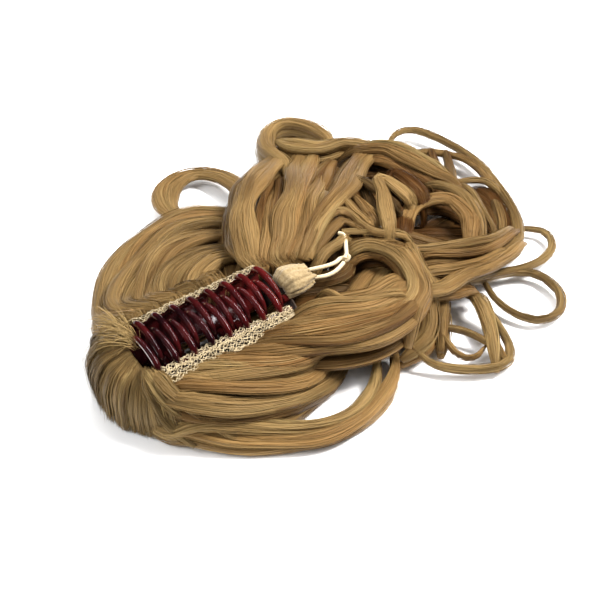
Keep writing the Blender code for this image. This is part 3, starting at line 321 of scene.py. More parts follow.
# The narrower tresses on top of the locks: width, width at the end and depth in millimetres, how
# light and how grey, and points read off the photograph, which is 600 pixels each way: pixels
# from its left edge, pixels from its top edge, and a guessed height over the floor in millimetres
SEEN_TRESSES = (
    Tress("middle_edge", 10, 8, 5, 0.36, 0.25, (
        (236, 262, 29), (234, 236, 30), (234, 212, 29), (238, 192, 27), (247, 178, 24), (261, 168, 19))),
    Tress("middle_a", 17, 15, 6, 0.56, 0.12, (
        (247, 262, 35), (245, 238, 37), (245, 214, 38), (249, 193, 36), (258, 177, 32), (270, 166, 25),
        (280, 158, 17))),
    Tress("middle_b", 8, 6, 6, 0.38, 0.00, (
        (260, 264, 34), (259, 240, 36), (260, 215, 35), (264, 197, 31), (271, 183, 25))),
    Tress("middle_c", 8, 7, 5, 0.52, 0.00, (
        (266, 262, 35), (267, 238, 38), (268, 215, 36), (272, 200, 30), (277, 186, 22))),
    Tress("middle_d", 7, 6, 5, 0.44, -0.15, (
        (275, 262, 35), (275, 238, 38), (276, 215, 37), (279, 197, 32), (281, 180, 24))),
    Tress("middle_e", 17, 19, 6, 0.57, 0.10, (
        (285, 260, 36), (286, 238, 38), (289, 215, 40), (293, 196, 39), (298, 180, 34), (303, 166, 25),
        (308, 154, 14))),
    Tress("middle_f", 11, 9, 6, 0.48, 0.02, (
        (296, 258, 36), (301, 237, 39), (307, 216, 40), (312, 200, 37), (317, 186, 31), (322, 174, 20))),
    Tress("middle_g", 8, 6, 5, 0.44, 0.00, (
        (300, 259, 35), (307, 240, 38), (314, 222, 39), (321, 207, 38), (328, 194, 33))),
    Tress("middle_h", 12, 19, 6, 0.58, 0.12, (
        (304, 260, 36), (312, 243, 39), (321, 226, 41), (331, 208, 41), (341, 191, 38), (353, 175, 32),
        (366, 160, 23), (378, 150, 14))),
    Tress("middle_i", 9, 6, 5, 0.58, 0.05, (
        (308, 258, 37), (314, 243, 39), (320, 229, 41), (329, 215, 42), (341, 210, 41), (353, 215, 40),
        (365, 225, 38), (381, 233, 36), (402, 235, 33))),
    Tress("middle_j", 8, 7, 4, 0.40, 0.00, (
        (312, 260, 34), (320, 245, 36), (330, 230, 38), (341, 221, 38), (353, 224, 37), (367, 232, 35))),
    Tress("middle_k", 6, 5, 4, 0.55, 0.10, (
        (334, 196, 40), (346, 203, 40), (358, 214, 39), (370, 226, 37))),
    Tress("middle_l", 6, 6, 4, 0.44, 0.05, (
        (345, 190, 37), (357, 198, 37), (366, 211, 37), (376, 226, 35))),
    Tress("middle_m", 8, 7, 5, 0.30, 0.10, (
        (356, 186, 31), (366, 195, 31), (372, 210, 31), (377, 226, 31))),
    Tress("middle_n", 9, 10, 5, 0.66, 0.12, (
        (381, 178, 36), (383, 194, 38), (385, 210, 39), (387, 228, 38))),
    Tress("middle_o", 4, 4, 4, 0.60, 0.10, (
        (345, 237, 35), (360, 232, 36), (380, 232, 36), (403, 234, 33))),
    Tress("middle_p", 6, 5, 5, 0.42, 0.05, (
        (350, 246, 33), (365, 243, 34), (382, 243, 34), (400, 247, 32))),
    Tress("middle_q", 12, 12, 5, 0.22, 0.05, (
        (393, 190, 24), (397, 207, 26), (399, 222, 27), (400, 236, 27))),
    Tress("eye_ring", 8, 9, 6, 0.54, 0.08, (
        (352, 250, 33), (368, 247, 35), (386, 250, 36), (400, 258, 36), (410, 271, 36), (415, 287, 35),
        (409, 302, 34), (395, 311, 32))),
    # A darker, redder tress: painted shadow along the top and right of the eye
    Tress("eye_red", 5, 5, 5, 0.30, -0.35, (
        (352, 262, 29), (364, 256, 31), (380, 257, 32), (393, 265, 32), (401, 278, 32), (403, 292, 31))),
    Tress("eye_right", 9, 9, 6, 0.47, 0.05, (
        (402, 250, 34), (413, 262, 35), (421, 278, 35), (424, 294, 34), (418, 310, 33))),
    Tress("eye_swirl", 10, 7, 5, 0.40, 0.05, (
        (352, 302, 28), (358, 290, 26), (368, 278, 24), (382, 270, 21))),
    Tress("eye_swirl_low", 9, 7, 5, 0.46, 0.05, (
        (368, 300, 31), (374, 290, 28), (381, 280, 25), (388, 272, 22))),
    Tress("eye_sill", 5, 5, 5, 0.55, 0.10, (
        (326, 293, 31), (344, 301, 34), (364, 302, 36), (384, 298, 36), (402, 297, 35))),
    # A near-black tress: painted shadow in the eye's hollow
    Tress("eye_floor", 14, 12, 6, 0.02, 0.00, (
        (338, 292, 20), (350, 272, 20), (370, 264, 20), (392, 268, 20), (402, 288, 20))),
    Tress("under_nook", 8, 8, 6, 0.48, 0.25, (
        (316, 264, 33), (326, 252, 35), (338, 243, 36), (344, 240, 35))),
    Tress("top_tress", 14, 12, 7, 0.44, 0.05, (
        (352, 153, 20), (366, 149, 24), (386, 149, 26), (404, 156, 25), (420, 165, 24), (437, 175, 22),
        (452, 183, 20))),
    Tress("top_light", 5, 5, 5, 0.56, 0.20, (
        (372, 144, 25), (390, 143, 27), (408, 150, 27), (424, 159, 25), (440, 169, 23))),
    Tress("top_shade", 14, 12, 6, 0.16, -0.10, (
        (372, 160, 22), (395, 164, 21), (415, 174, 20), (434, 184, 19))),
    Tress("top_post", 8, 9, 6, 0.16, -0.10, (
        (432, 152, 9), (437, 166, 12), (441, 184, 15))),
    Tress("top_post_light", 7, 8, 5, 0.30, 0.00, (
        (445, 154, 9), (448, 166, 12), (450, 184, 15))),
    Tress("great_arc", 6, 8, 6, 0.40, 0.30, (
        (388, 150, 12), (391, 140, 10), (399, 133, 9), (412, 131, 8), (428, 134, 8), (445, 142, 8),
        (463, 152, 8), (480, 165, 8), (494, 182, 8), (505, 198, 8), (513, 214, 8), (517, 230, 9),
        (513, 244, 11), (499, 254, 14), (478, 262, 18))),
    Tress("great_second", 6, 8, 5, 0.34, 0.15, (
        (413, 153, 9), (428, 152, 9), (446, 154, 9), (463, 159, 9), (478, 169, 9), (490, 183, 10))),
    Tress("right_bar", 5, 6, 4, 0.50, 0.15, (
        (440, 185, 16), (455, 182, 14), (470, 180, 12), (486, 181, 11), (498, 189, 10))),
    Tress("inner_top", 13, 11, 7, 0.46, 0.05, (
        (403, 236, 24), (404, 222, 26), (412, 210, 27), (428, 202, 27), (446, 200, 26), (461, 206, 25),
        (470, 219, 23), (473, 238, 21))),
    Tress("inner_outer", 8, 8, 6, 0.52, 0.10, (
        (430, 186, 22), (446, 188, 24), (460, 194, 25), (471, 206, 24), (479, 221, 22), (483, 238, 20))),
    Tress("inner_thin", 4, 4, 4, 0.46, 0.10, (
        (464, 185, 14), (474, 193, 16), (483, 206, 17), (490, 221, 17), (493, 236, 16))),
    Tress("inner_shade", 20, 16, 5, 0.00, -0.10, (
        (478, 192, 7), (490, 205, 7), (499, 222, 8), (500, 240, 9))),
    Tress("inner_side", 7, 6, 5, 0.34, 0.10, (
        (496, 205, 9), (502, 220, 10), (502, 238, 12))),
    Tress("inner_low", 7, 6, 6, 0.54, 0.05, (
        (400, 252, 29), (424, 250, 28), (446, 246, 26), (470, 243, 24), (494, 239, 19), (510, 230, 13))),
    Tress("inner_low_under", 7, 6, 5, 0.42, 0.05, (
        (424, 256, 26), (450, 252, 25), (478, 249, 23), (500, 243, 18), (514, 232, 13))),
    Tress("inner_side_low", 11, 9, 6, 0.52, 0.08, (
        (418, 293, 28), (440, 289, 27), (465, 277, 25), (490, 268, 21), (509, 257, 16), (519, 243, 12))),
    Tress("inner_side_mid", 9, 8, 5, 0.44, 0.00, (
        (424, 272, 25), (450, 268, 24), (480, 262, 20), (504, 252, 16))),
    Tress("inner_cross", 9, 8, 6, 0.50, 0.10, (
        (408, 246, 31), (416, 258, 31), (422, 272, 30), (430, 286, 28))),
    # Near-black tresses: painted shadow in the hollow inside the right-hand locks
    Tress("inner_hollow", 26, 22, 6, 0.02, 0.00, (
        (396, 206, 8), (425, 206, 8), (455, 211, 8), (480, 224, 8))),
    Tress("inner_hollow_low", 22, 20, 6, 0.03, 0.00, (
        (398, 240, 10), (430, 238, 10), (460, 238, 10), (492, 242, 10))),
    Tress("inner_hollow_side", 14, 14, 5, 0.05, 0.00, (
        (484, 200, 6), (494, 210, 6), (502, 224, 6), (506, 240, 6))),
    # A near-black tress: painted shadow in the gap under the top locks
    Tress("top_hollow", 22, 16, 6, 0.05, 0.00, (
        (350, 174, 14), (380, 172, 14), (405, 179, 13), (432, 188, 12))),
    Tress("inner_fill", 16, 14, 8, 0.30, 0.00, (
        (420, 262, 20), (450, 262, 18), (480, 258, 14), (505, 250, 10))),
    Tress("inner_fill_low", 14, 12, 8, 0.34, 0.00, (
        (412, 282, 20), (440, 280, 18), (468, 272, 15), (495, 262, 11))),
    Tress("low_tress", 9, 8, 5, 0.50, 0.15, (
        (478, 298, 14), (486, 315, 11), (492, 335, 9), (495, 352, 8))),
    Tress("low_tress_wide", 12, 11, 5, 0.40, 0.00, (
        (430, 297, 22), (450, 294, 20), (468, 290, 17))),
    Tress("near_fan_a", 8, 8, 4, 0.48, 0.30, (
        (150, 373, 32), (158, 388, 28), (172, 405, 21), (193, 421, 13))),
    Tress("near_fan_b", 8, 8, 4, 0.50, 0.15, (
        (157, 376, 32), (168, 389, 29), (186, 404, 23), (208, 418, 16))),
    Tress("near_fan_c", 8, 7, 4, 0.44, 0.40, (
        (146, 371, 32), (150, 388, 28), (158, 405, 21), (172, 421, 13))),
)

# The photograph's camera, fitted to the ends of the teeth
CAMERA_DOWN = math.radians(38.0)
CAMERA_TURN = math.radians(38.5)
CAMERA_DEPTH = 0.480
FOCAL_PIXELS = 1000
PICTURE_MIDDLE = 300
SENSOR_WIDTH = 36.0
ANCHOR = Vector((0, 0, 0.036))
ANCHOR_ACROSS = 206
ANCHOR_DOWN = 318
MILLIMETRE = 0.001


def camera_axes():
    level = Vector((math.sin(CAMERA_TURN), math.cos(CAMERA_TURN), 0))
    right = Vector((math.cos(CAMERA_TURN), -math.sin(CAMERA_TURN), 0))
    forward = level * math.cos(CAMERA_DOWN) - Vector((0, 0, math.sin(CAMERA_DOWN)))
    up = level * math.sin(CAMERA_DOWN) + Vector((0, 0, math.cos(CAMERA_DOWN)))
    return right, up, forward


def camera_place():
    right, up, forward = camera_axes()
    shift_right = (ANCHOR_ACROSS - PICTURE_MIDDLE) * CAMERA_DEPTH / FOCAL_PIXELS
    shift_up = (PICTURE_MIDDLE - ANCHOR_DOWN) * CAMERA_DEPTH / FOCAL_PIXELS
    return ANCHOR - right * shift_right - up * shift_up - forward * CAMERA_DEPTH


def seen_station(across, down, height):
    """Where a picture point's ray meets its height, as shares like those of LOCKS."""
    axes = np.array([tuple(axis) for axis in camera_axes()])
    start = np.array(camera_place())
    ray = np.array((across - PICTURE_MIDDLE, PICTURE_MIDDLE - down, FOCAL_PIXELS)) / FOCAL_PIXELS @ axes
    along, beside, _ = start + ray * (height * MILLIMETRE - start[2]) / ray[2]
    above = height / (PILE_HEIGHT / MILLIMETRE)
    return tuple(round(float(share), 2) for share in (along / FALL_LENGTH, beside / FALL_WIDTH, above))


def tress_on_heap(seen):
    width, end = (round(size * MILLIMETRE / LOCK_WIDTH, 2) for size in (seen.width, seen.end))
    depth = round(seen.depth * MILLIMETRE / LOCK_DEPTH, 2)
    route = tuple(seen_station(*point) for point in seen.route)
    return seen._replace(width=width, end=end, depth=depth, route=route)


TRESSES = tuple(tress_on_heap(seen) for seen in SEEN_TRESSES)

# One run of random numbers for the whole scene, so the order of the draws is part of the look
rng = np.random.default_rng(20)


def make_camera():
    data = bpy.data.cameras.new("camera")
    data.lens = FOCAL_PIXELS * SENSOR_WIDTH / (2 * PICTURE_MIDDLE)
    data.sensor_width = SENSOR_WIDTH
    camera = bpy.data.objects.new("camera", data)
    bpy.context.scene.collection.objects.link(camera)
    camera.location = camera_place()
    camera.rotation_euler = (math.radians(90.0) - CAMERA_DOWN, 0, -CAMERA_TURN)
    bpy.context.scene.camera = camera


# Floor and light

FLOOR_HALF = 3.0
LIGHT_AIM = (0.06, 0.03, 0.02)
STRIP_LONG = 1.3


def make_stage():
    size = FLOOR_HALF
    corners = [(-size, -size, 0), (size, -size, 0), (size, size, 0), (-size, size, 0)]
    mesh = bpy.data.meshes.new("floor")
    mesh.from_pydata(corners, [], [(0, 1, 2, 3)])
    floor = bpy.data.objects.new("floor", mesh)
    bpy.context.scene.collection.objects.link(floor)
    material = bpy.data.materials.new("floor")
    material.use_nodes = True
    shader = material.node_tree.nodes["Principled BSDF"]
    feed(shader, {"Base Color": (0.92, 0.92, 0.92, 1), "Roughness": 0.9, "Specular IOR Level": 0.1})
    mesh.materials.append(material)


def add_light(name, place, aim, size, power, colour=(1, 1, 1), mirrored=False):
    data = bpy.data.lights.new(name, "AREA")
    data.shape = "DISK"
    data.size = size
    data.energy = power
    data.color = colour
    light = bpy.data.objects.new(name, data)
    bpy.context.scene.collection.objects.link(light)
    light.location = place
    away = Vector(place) - Vector(aim)
    light.rotation_euler = away.to_track_quat("Z", "Y").to_euler()
    light.visible_glossy = mirrored
    return light


def make_lights():
    world = bpy.data.worlds.new("studio")
    world.use_nodes = True
    feed(world.node_tree.nodes["Background"], {"Color": (1.0, 1.0, 1.0, 1), "Strength": 0.42})
    world.cycles_visibility.glossy = False
    bpy.context.scene.world = world
    add_light("key", (0.70, -0.36, 0.98), LIGHT_AIM, 0.40, 30.0, (1.0, 0.98, 0.95))
    strip = add_light("strip", (0.58, -0.20, 0.95), LIGHT_AIM, 0.040, 8.0, (0.97, 0.95, 1.0), True)
    # It is long across the claw and thin along it, and the only light that the gloss mirrors
    strip.data.shape = "RECTANGLE"
    strip.data.size_y = STRIP_LONG
    facing = (Vector(strip.location) - Vector(LIGHT_AIM)).normalized()
    lengthways = Vector((0.0, 0.97, 0.25))
    lengthways = (lengthways - facing * lengthways.dot(facing)).normalized()
    thin = lengthways.cross(facing)
    strip.rotation_euler = Matrix((thin, lengthways, facing)).transposed().to_euler()
    add_light("fill", (-0.70, 0.10, 0.85), LIGHT_AIM, 0.8, 9.0)
    add_light("back", (0.30, 0.90, 0.80), LIGHT_AIM, 0.7, 9.0)
    bpy.context.scene.view_settings.view_transform = "Standard"
    bpy.context.scene.view_settings.look = "None"


# Meshes

def mesh_object(name, vertices, quads, material, colours, uvs):
    mesh = bpy.data.meshes.new(name)
    vertices = np.ascontiguousarray(vertices, dtype=np.float32)
    quads = np.ascontiguousarray(quads, dtype=np.int32)
    mesh.vertices.add(len(vertices))
    mesh.vertices.foreach_set("co", vertices.ravel())
    mesh.loops.add(quads.size)
    mesh.loops.foreach_set("vertex_index", quads.ravel())
    mesh.polygons.add(len(quads))
    mesh.polygons.foreach_set("loop_start", np.arange(0, quads.size, 4, dtype=np.int32))
    mesh.polygons.foreach_set("use_smooth", np.ones(len(quads), dtype=bool))
    mesh.update(calc_edges=True)
    mesh.validate()
    layer = mesh.uv_layers.new(name="strand")
    layer.data.foreach_set("uv", np.ascontiguousarray(uvs[quads.ravel()], dtype=np.float32).ravel())
    layer = mesh.color_attributes.new("tone", "FLOAT_COLOR", "POINT")
    filled = np.ones((len(vertices), 4), dtype=np.float32)
    filled[:, :3] = colours
    layer.data.foreach_set("color", filled.ravel())
    item = bpy.data.objects.new(name, mesh)
    bpy.context.scene.collection.objects.link(item)
    mesh.materials.append(material)
    return item


class Builder:
    """Grids of points gathered into one mesh."""

    def __init__(self):
        self.vertices = []
        self.quads = []
        self.colours = []
        self.uvs = []
        self.count = 0

    def add_grid(self, points, colours=None, uvs=None, closed=False):
        # points: many grids (grids, rows, columns, 3)
        grids, rows, columns = points.shape[:3]
        index = np.arange(rows * columns).reshape(rows, columns)
        if closed:
            nxt = np.roll(index, -1, axis=1)
            quads = np.stack((index[:-1], nxt[:-1], nxt[1:], index[1:]), axis=-1).reshape(-1, 4)
        else:
            quads = np.stack((index[:-1, :-1], index[:-1, 1:], index[1:, 1:], index[1:, :-1]), axis=-1)
            quads = quads.reshape(-1, 4)
        starts = self.count + np.arange(grids) * rows * columns
        self.quads.append((quads[None] + starts[:, None, None]).reshape(-1, 4))
        self.vertices.append(points.reshape(-1, 3))
        total = grids * rows * columns
        if colours is None:
            colours = np.ones((total, 3))
        if uvs is None:
            uvs = np.zeros((total, 2))
        self.colours.append(colours.reshape(-1, 3))
        self.uvs.append(uvs.reshape(-1, 2))
        self.count += total

    def finish(self, name, material):
        return mesh_object(name, np.vstack(self.vertices), np.vstack(self.quads), material,
                           np.vstack(self.colours), np.vstack(self.uvs))


def place(item, slot, *nodes):
    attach(item, "root")
    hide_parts(*nodes)
    return item


def thicken(item, thickness):
    wall = item.modifiers.new("wall", "SOLIDIFY")
    wall.thickness = thickness
    wall.offset = 0.0


def smooth_route(points, steps):
    """A Catmull-Rom curve through the points of one route, or of many side by side."""
    spots = np.array(points, dtype=float)
    ends = np.concatenate((2 * spots[:1] - spots[1:2], spots, 2 * spots[-1:] - spots[-2:-1]))
    t = (np.arange(steps) / steps).reshape((-1,) + (1,) * (spots.ndim - 1))
    runs = []
    for a, b, c, d in zip(ends, ends[1:], ends[2:], ends[3:]):
        runs.append(0.5 * (2 * b + (c - a) * t + (2 * a - 5 * b + 4 * c - d) * t ** 2
                           + (3 * b - a - 3 * c + d) * t ** 3))
    return np.concatenate(runs + [spots[-1:]])


def unit(v):
    return v / np.maximum(np.linalg.norm(v, axis=-1, keepdims=True), 1e-9)


def resample(points, count):
    steps = np.linalg.norm(np.diff(points, axis=0), axis=1)
    along = np.concatenate(([0.0], np.cumsum(steps)))
    want = np.linspace(0.0, along[-1], count)
    return np.stack([np.interp(want, along, points[:, k]) for k in range(3)], axis=1)


def route_length(points):
    return float(np.linalg.norm(np.diff(points, axis=0), axis=1).sum())


def level_frames(route):
    ahead = unit(np.gradient(route, axis=0))
    across = np.cross(ahead, np.array((0.0, 0.0, 1.0)))
    short = np.linalg.norm(across, axis=1) < 0.05
    across[short] = (1.0, 0.0, 0.0)
    across = unit(across)
    return ahead, across, np.cross(across, ahead)


def tube_grid(route, radius, sides, tips=True):
    # (rows, sides, 3) with the rings turned as little as can be from one to the next
    route = np.asarray(route, dtype=float)
    ahead = unit(np.gradient(route, axis=0))
    radius = np.broadcast_to(np.asarray(radius, dtype=float), (len(route),))
    first = np.cross(ahead[0], np.array((0.0, 0.0, 1.0)))
    if np.linalg.norm(first) < 0.1:
        first = np.cross(ahead[0], np.array((1.0, 0.0, 0.0)))
    side = unit(first)
    angles = 2 * np.pi * np.arange(sides) / sides
    rings = []
    for i in range(len(route)):
        side = unit(side - ahead[i] * np.dot(side, ahead[i]))
        other = np.cross(ahead[i], side)
        ring = route[i] + radius[i] * (np.cos(angles)[:, None] * side + np.sin(angles)[:, None] * other)
        rings.append(ring)
    if tips:
        rings.insert(0, np.repeat(route[:1], sides, axis=0))
        rings.append(np.repeat(route[-1:], sides, axis=0))
    return np.stack(rings)


# Materials

def feed(node, values):
    for name, value in values.items():
        node.inputs[name].default_value = value


def new_material(name):
    material = bpy.data.materials.new(name)
    material.use_nodes = True
    nodes = material.node_tree.nodes
    return material, nodes, material.node_tree.links, nodes["Principled BSDF"]


def object_noise(nodes, links, scale, detail):
    coords = nodes.new("ShaderNodeTexCoord")
    noise = nodes.new("ShaderNodeTexNoise")
    feed(noise, {"Scale": scale, "Detail": detail})
    links.new(coords.outputs["Object"], noise.inputs["Vector"])
    return coords, noise


def ramp_into(nodes, links, shader, source, low, high):
    """Colours the shader by a ramp; low and high are each a position and a colour."""
    ramp = nodes.new("ShaderNodeValToRGB")
    for element, (position, colour) in zip(ramp.color_ramp.elements, (low, high)):
        element.position = position
        element.color = (*colour, 1)
    links.new(source, ramp.inputs["Fac"])
    links.new(ramp.outputs["Color"], shader.inputs["Base Color"])


def bump_into(nodes, links, shader, source, strength, distance, invert=False):
    bump = nodes.new("ShaderNodeBump")
    bump.invert = invert
    feed(bump, {"Strength": strength, "Distance": distance})
    links.new(source, bump.inputs["Height"])
    links.new(bump.outputs["Normal"], shader.inputs["Normal"])


def hair_material():
    material, nodes, links, shader = new_material("hair_fibre")
    tone = nodes.new("ShaderNodeVertexColor")
    tone.layer_name = "tone"
    uv = nodes.new("ShaderNodeUVMap")
    uv.uv_map = "strand"
    mapping = nodes.new("ShaderNodeMapping")
    mapping.inputs["Scale"].default_value = (28.0, 2600.0, 1.0)
    streak = nodes.new("ShaderNodeTexNoise")
    feed(streak, {"Scale": 1.0, "Detail": 3.0})
    links.new(uv.outputs["UV"], mapping.inputs["Vector"])
    links.new(mapping.outputs["Vector"], streak.inputs["Vector"])
    shade = nodes.new("ShaderNodeMapRange")
    feed(shade, {"From Min": 0.3, "From Max": 0.7, "To Min": 0.72, "To Max": 1.20})
    links.new(streak.outputs["Fac"], shade.inputs["Value"])
    mix = nodes.new("ShaderNodeMix")
    mix.data_type = "RGBA"
    mix.blend_type = "MULTIPLY"
    mix.inputs["Factor"].default_value = 1.0
    links.new(tone.outputs["Color"], mix.inputs["A"])
    links.new(shade.outputs["Result"], mix.inputs["B"])
    links.new(mix.outputs["Result"], shader.inputs["Base Color"])
    bump_into(nodes, links, shader, streak.outputs["Fac"], 0.5, 0.0004)
    feed(shader, {"Roughness": 0.42, "Specular IOR Level": 0.42, "Specular Tint": (1.0, 0.80, 0.52, 1)})
    return material


def claw_material():
    material, nodes, links, shader = new_material("claw_mahogany")
    coords, noise = object_noise(nodes, links, 90.0, 2.0)
    # Painted glow: toward the hood the base colour turns redder, standing in for light shining through the
    # thinner plastic there
    split = nodes.new("ShaderNodeSeparateXYZ")
    links.new(coords.outputs["Object"], split.inputs["Vector"])
    painted_glow = nodes.new("ShaderNodeMapRange")
    feed(painted_glow, {"From Min": -0.005, "From Max": 0.045, "To Max": 0.42})
    links.new(split.outputs["X"], painted_glow.inputs["Value"])
    total = nodes.new("ShaderNodeMath")
    total.operation = "ADD"
    links.new(noise.outputs["Fac"], total.inputs[0])
    links.new(painted_glow.outputs["Result"], total.inputs[1])
    ramp_into(nodes, links, shader, total.outputs["Value"],
              (0.40, (0.010, 0.002, 0.003)), (0.90, (0.085, 0.007, 0.007)))
    feed(shader, {"Roughness": 0.13, "IOR": 1.5, "Transmission Weight": 0.22, "Coat Weight": 0.15,
                  "Coat Roughness": 0.05})
    return material


def thread_material(name, colour, bright, scale, roughness=0.8):
    material, nodes, links, shader = new_material(name)
    _, noise = object_noise(nodes, links, scale, 4.0)
    ramp_into(nodes, links, shader, noise.outputs["Fac"], (0.3, colour), (0.75, bright))
    bump_into(nodes, links, shader, noise.outputs["Fac"], 0.6, 0.0003)
    feed(shader, {"Roughness": roughness, "Sheen Weight": 0.3, "Sheen Roughness": 0.5})
    return material


# Draw elastic

def braid_material():
    material, nodes, links, shader = new_material("elastic_braid")
    coords = nodes.new("ShaderNodeTexCoord")
    wave = nodes.new("ShaderNodeTexVoronoi")
    wave.inputs["Scale"].default_value = 1600.0
    links.new(coords.outputs["Object"], wave.inputs["Vector"])
    ramp_into(nodes, links, shader, wave.outputs["Distance"],
              (0.0, (0.78, 0.66, 0.44)), (0.9, (0.55, 0.42, 0.24)))
    bump_into(nodes, links, shader, wave.outputs["Distance"], 0.6, 0.0002, invert=True)
    feed(shader, {"Roughness": 0.6, "Sheen Weight": 0.3})
    return material


def cord_curve(name, points, material):
    curve = bpy.data.curves.new(name, "CURVE")
    curve.dimensions = "3D"
    curve.bevel_depth = ELASTIC_DIAMETER / 2
    curve.bevel_resolution = 4
    curve.use_fill_caps = True
    spline = curve.splines.new("POLY")
    spline.points.add(len(points) - 1)
    weighted = np.column_stack((points, np.ones(len(points)))).astype(np.float32)
    spline.points.foreach_set("co", weighted.ravel())
    spline.use_smooth = True
    item = bpy.data.objects.new(name, curve)
    bpy.context.scene.collection.objects.link(item)
    curve.materials.append(material)
    return item


KNOT_HALF_SIZE = (0.00230, 0.00180, 0.00110)
# The elastic is stretched thin in the knot
KNOT_CORD_RADIUS = ELASTIC_DIAMETER * 0.36


def knot_piece(material):
    # An overhand knot drawn tight: a trefoil of the same elastic, squashed into a ball
    builder = Builder()
    turns = np.linspace(0.0, 2 * np.pi, 97)
    loop = np.column_stack((
        (np.sin(turns) + 2 * np.sin(2 * turns)) / 3,
        (np.cos(turns) - 2 * np.cos(2 * turns)) / 3,
        -np.sin(3 * turns)))
    loop = loop * np.array(KNOT_HALF_SIZE) + np.array(KNOT_CENTRE)
    builder.add_grid(tube_grid(loop, KNOT_CORD_RADIUS, 12, tips=False)[None], closed=True)
    return builder.finish("elastic_knot_turns", material)


def make_elastic():
    material = braid_material()
    upper = smooth_route((*UPPER_ROUTE, KNOT_CENTRE, *TAIL_ROUTE), 4)
    upper = resample(upper, 48)
    upper_cord = cord_curve("elastic_upper_run", upper, material)
    place(upper_cord, "elastic", "elastic_upper", "elastic_tail")
    knot = place(knot_piece(material), "elastic", "elastic_knot")
    route_length(upper)
    lower = resample(smooth_route(LOWER_ROUTE, 4), 30)
    lower_cord = cord_curve("elastic_lower_run", lower, material)
    place(lower_cord, "elastic", "elastic_lower")
    route_length(lower)


# Claw

def claw_matrix():
    roll = Matrix.Rotation(CLAW_ROLL, 4, "X")
    return np.array(Matrix.Translation((0, HINGE_Y, HINGE_HEIGHT)) @ roll)


def to_world(points):
    matrix = claw_matrix()
    return points @ matrix[:3, :3].T + matrix[:3, 3]


# The looks' finer teeth
TOOTH_TIP_LENGTH = 0.0007
TOOTH_TIP_HALF = 0.00100
TOOTH_ROOT_HALF_WIDTH = 0.00178
TOOTH_ROOT_HALF_DEPTH = 0.00160


def tooth_places(offset):
    middle = (TOOTH_COUNT - 1) / 2
    return [(i - middle) * TOOTH_PITCH + offset for i in range(TOOTH_COUNT)]


def jaw_ends():
    start = tooth_places(0.0)[0] - JAW_START_MARGIN
    end = tooth_places(0.0)[-1] + JAW_END_MARGIN
    return start, end


def tooth_grid(side, x):
    points = [(x, side * p.half_width * JAW_HALF_WIDTH, JAW_HEIGHT + p.rise * TOOTH_RISE)
              for p in TOOTH_SECTION]
    radii = [(p.radius, 0.0, 0.0) for p in TOOTH_SECTION]
    route = smooth_route(points, 5)
    share = smooth_route(radii, 5)[:, 0]
    tip = route[-1] + unit(route[-1] - route[-2]) * TOOTH_TIP_LENGTH
    route = np.vstack((route, (route[-1] + tip) / 2, tip))
    share = np.concatenate((share, (-0.15, -0.75)))
    wide = TOOTH_TIP_HALF + (TOOTH_ROOT_HALF_WIDTH - TOOTH_TIP_HALF) * share
    deep = TOOTH_TIP_HALF + (TOOTH_ROOT_HALF_DEPTH - TOOTH_TIP_HALF) * share
    ahead = unit(np.gradient(route, axis=0))
    across = np.tile(np.array((1.0, 0.0, 0.0)), (len(route), 1))
    upward = np.cross(across, ahead) * side * -1
    sides = 20
    angles = 2 * np.pi * np.arange(sides) / sides
    # A soft ridge along the outer face, and a flat inner face
    ridge = 1.0 + 0.10 * np.exp(-((angles - np.pi / 2) / 0.45) ** 2)
    c = np.cos(angles) * ridge
    s = np.sin(angles) * ridge
    rings = (route[:, None] + across[:, None] * (wide[:, None] * c)[..., None]
             + upward[:, None] * (deep[:, None] * s)[..., None])
    rings = np.concatenate((np.repeat(route[:1, None], sides, axis=1), rings,
                            np.repeat(route[-1:, None] + ahead[-1:, None] * 0.0003, sides, axis=1)))
    return rings


def jaw_plate_grid(side):
    section = []
    for p in JAW_SECTION:
        reach = JAW_HEIGHT if p.height > 0 else LEVER_DEPTH
        section.append((0.0, side * p.half_width * JAW_HALF_WIDTH, p.height * reach))
    curve = smooth_route(section, 6)
    ahead = unit(np.gradient(curve, axis=0))
    normal = np.column_stack((ahead[:, 0], -ahead[:, 2], ahead[:, 1]))
    share = np.linspace(0, 1, len(curve))
    # The rim and the lever's edge are rounded
    half = JAW_THICKNESS / 2 * np.sqrt(np.clip(1 - np.clip((share - 0.93) / 0.07, 0, 1) ** 2 * 0.9, 0, 1))
    half = half * np.sqrt(np.clip(1 - np.clip((0.05 - share) / 0.05, 0, 1) ** 2 * 0.9, 0, 1))
    inner = curve + normal * half[:, None]
    outer = curve - normal * half[:, None]
    outline = np.vstack((inner, outer[::-1]))
    middle = np.vstack((curve, curve[::-1]))
    start, end = jaw_ends()
    # Rounded at both ends too
    rows = [middle + np.array((start, 0, 0))]
    for x, pull in ((start, 0.35), (start + 0.0003, 0.12), (start + 0.0009, 0.0),
                    (end - 0.0009, 0.0), (end - 0.0003, 0.12), (end, 0.35)):
        ring = outline + (middle - outline) * pull
        ring[:, 0] = x
        rows.append(ring)
    rows.append(middle + np.array((end, 0, 0)))
    return np.stack(rows)


def x_cylinder(x_from, x_to, radius, sides=24):
    angles = 2 * np.pi * np.arange(sides) / sides
    edge = min(0.0003, radius * 0.2)
    rows = []
    for x, r in ((x_from, 0.0), (x_from, radius - edge), (x_from + edge, radius),
                 (x_to - edge, radius), (x_to, radius - edge), (x_to, 0.0)):
        rows.append(np.column_stack((np.full(sides, x), r * np.cos(angles), r * np.sin(angles))))
    return np.stack(rows)


# The web between a knuckle and its jaw: half its height, and how far it stays inside the knuckle's ends
WEB_HALF_HEIGHT = KNUCKLE_RADIUS * 0.55
WEB_INSET = 0.0002
# The round nub that shows below the hood
NUB_START = 0.0425
NUB_END = 0.0500
NUB_RADIUS = 0.0022
NUB_Y = -0.0045
NUB_HEIGHT = 0.0292


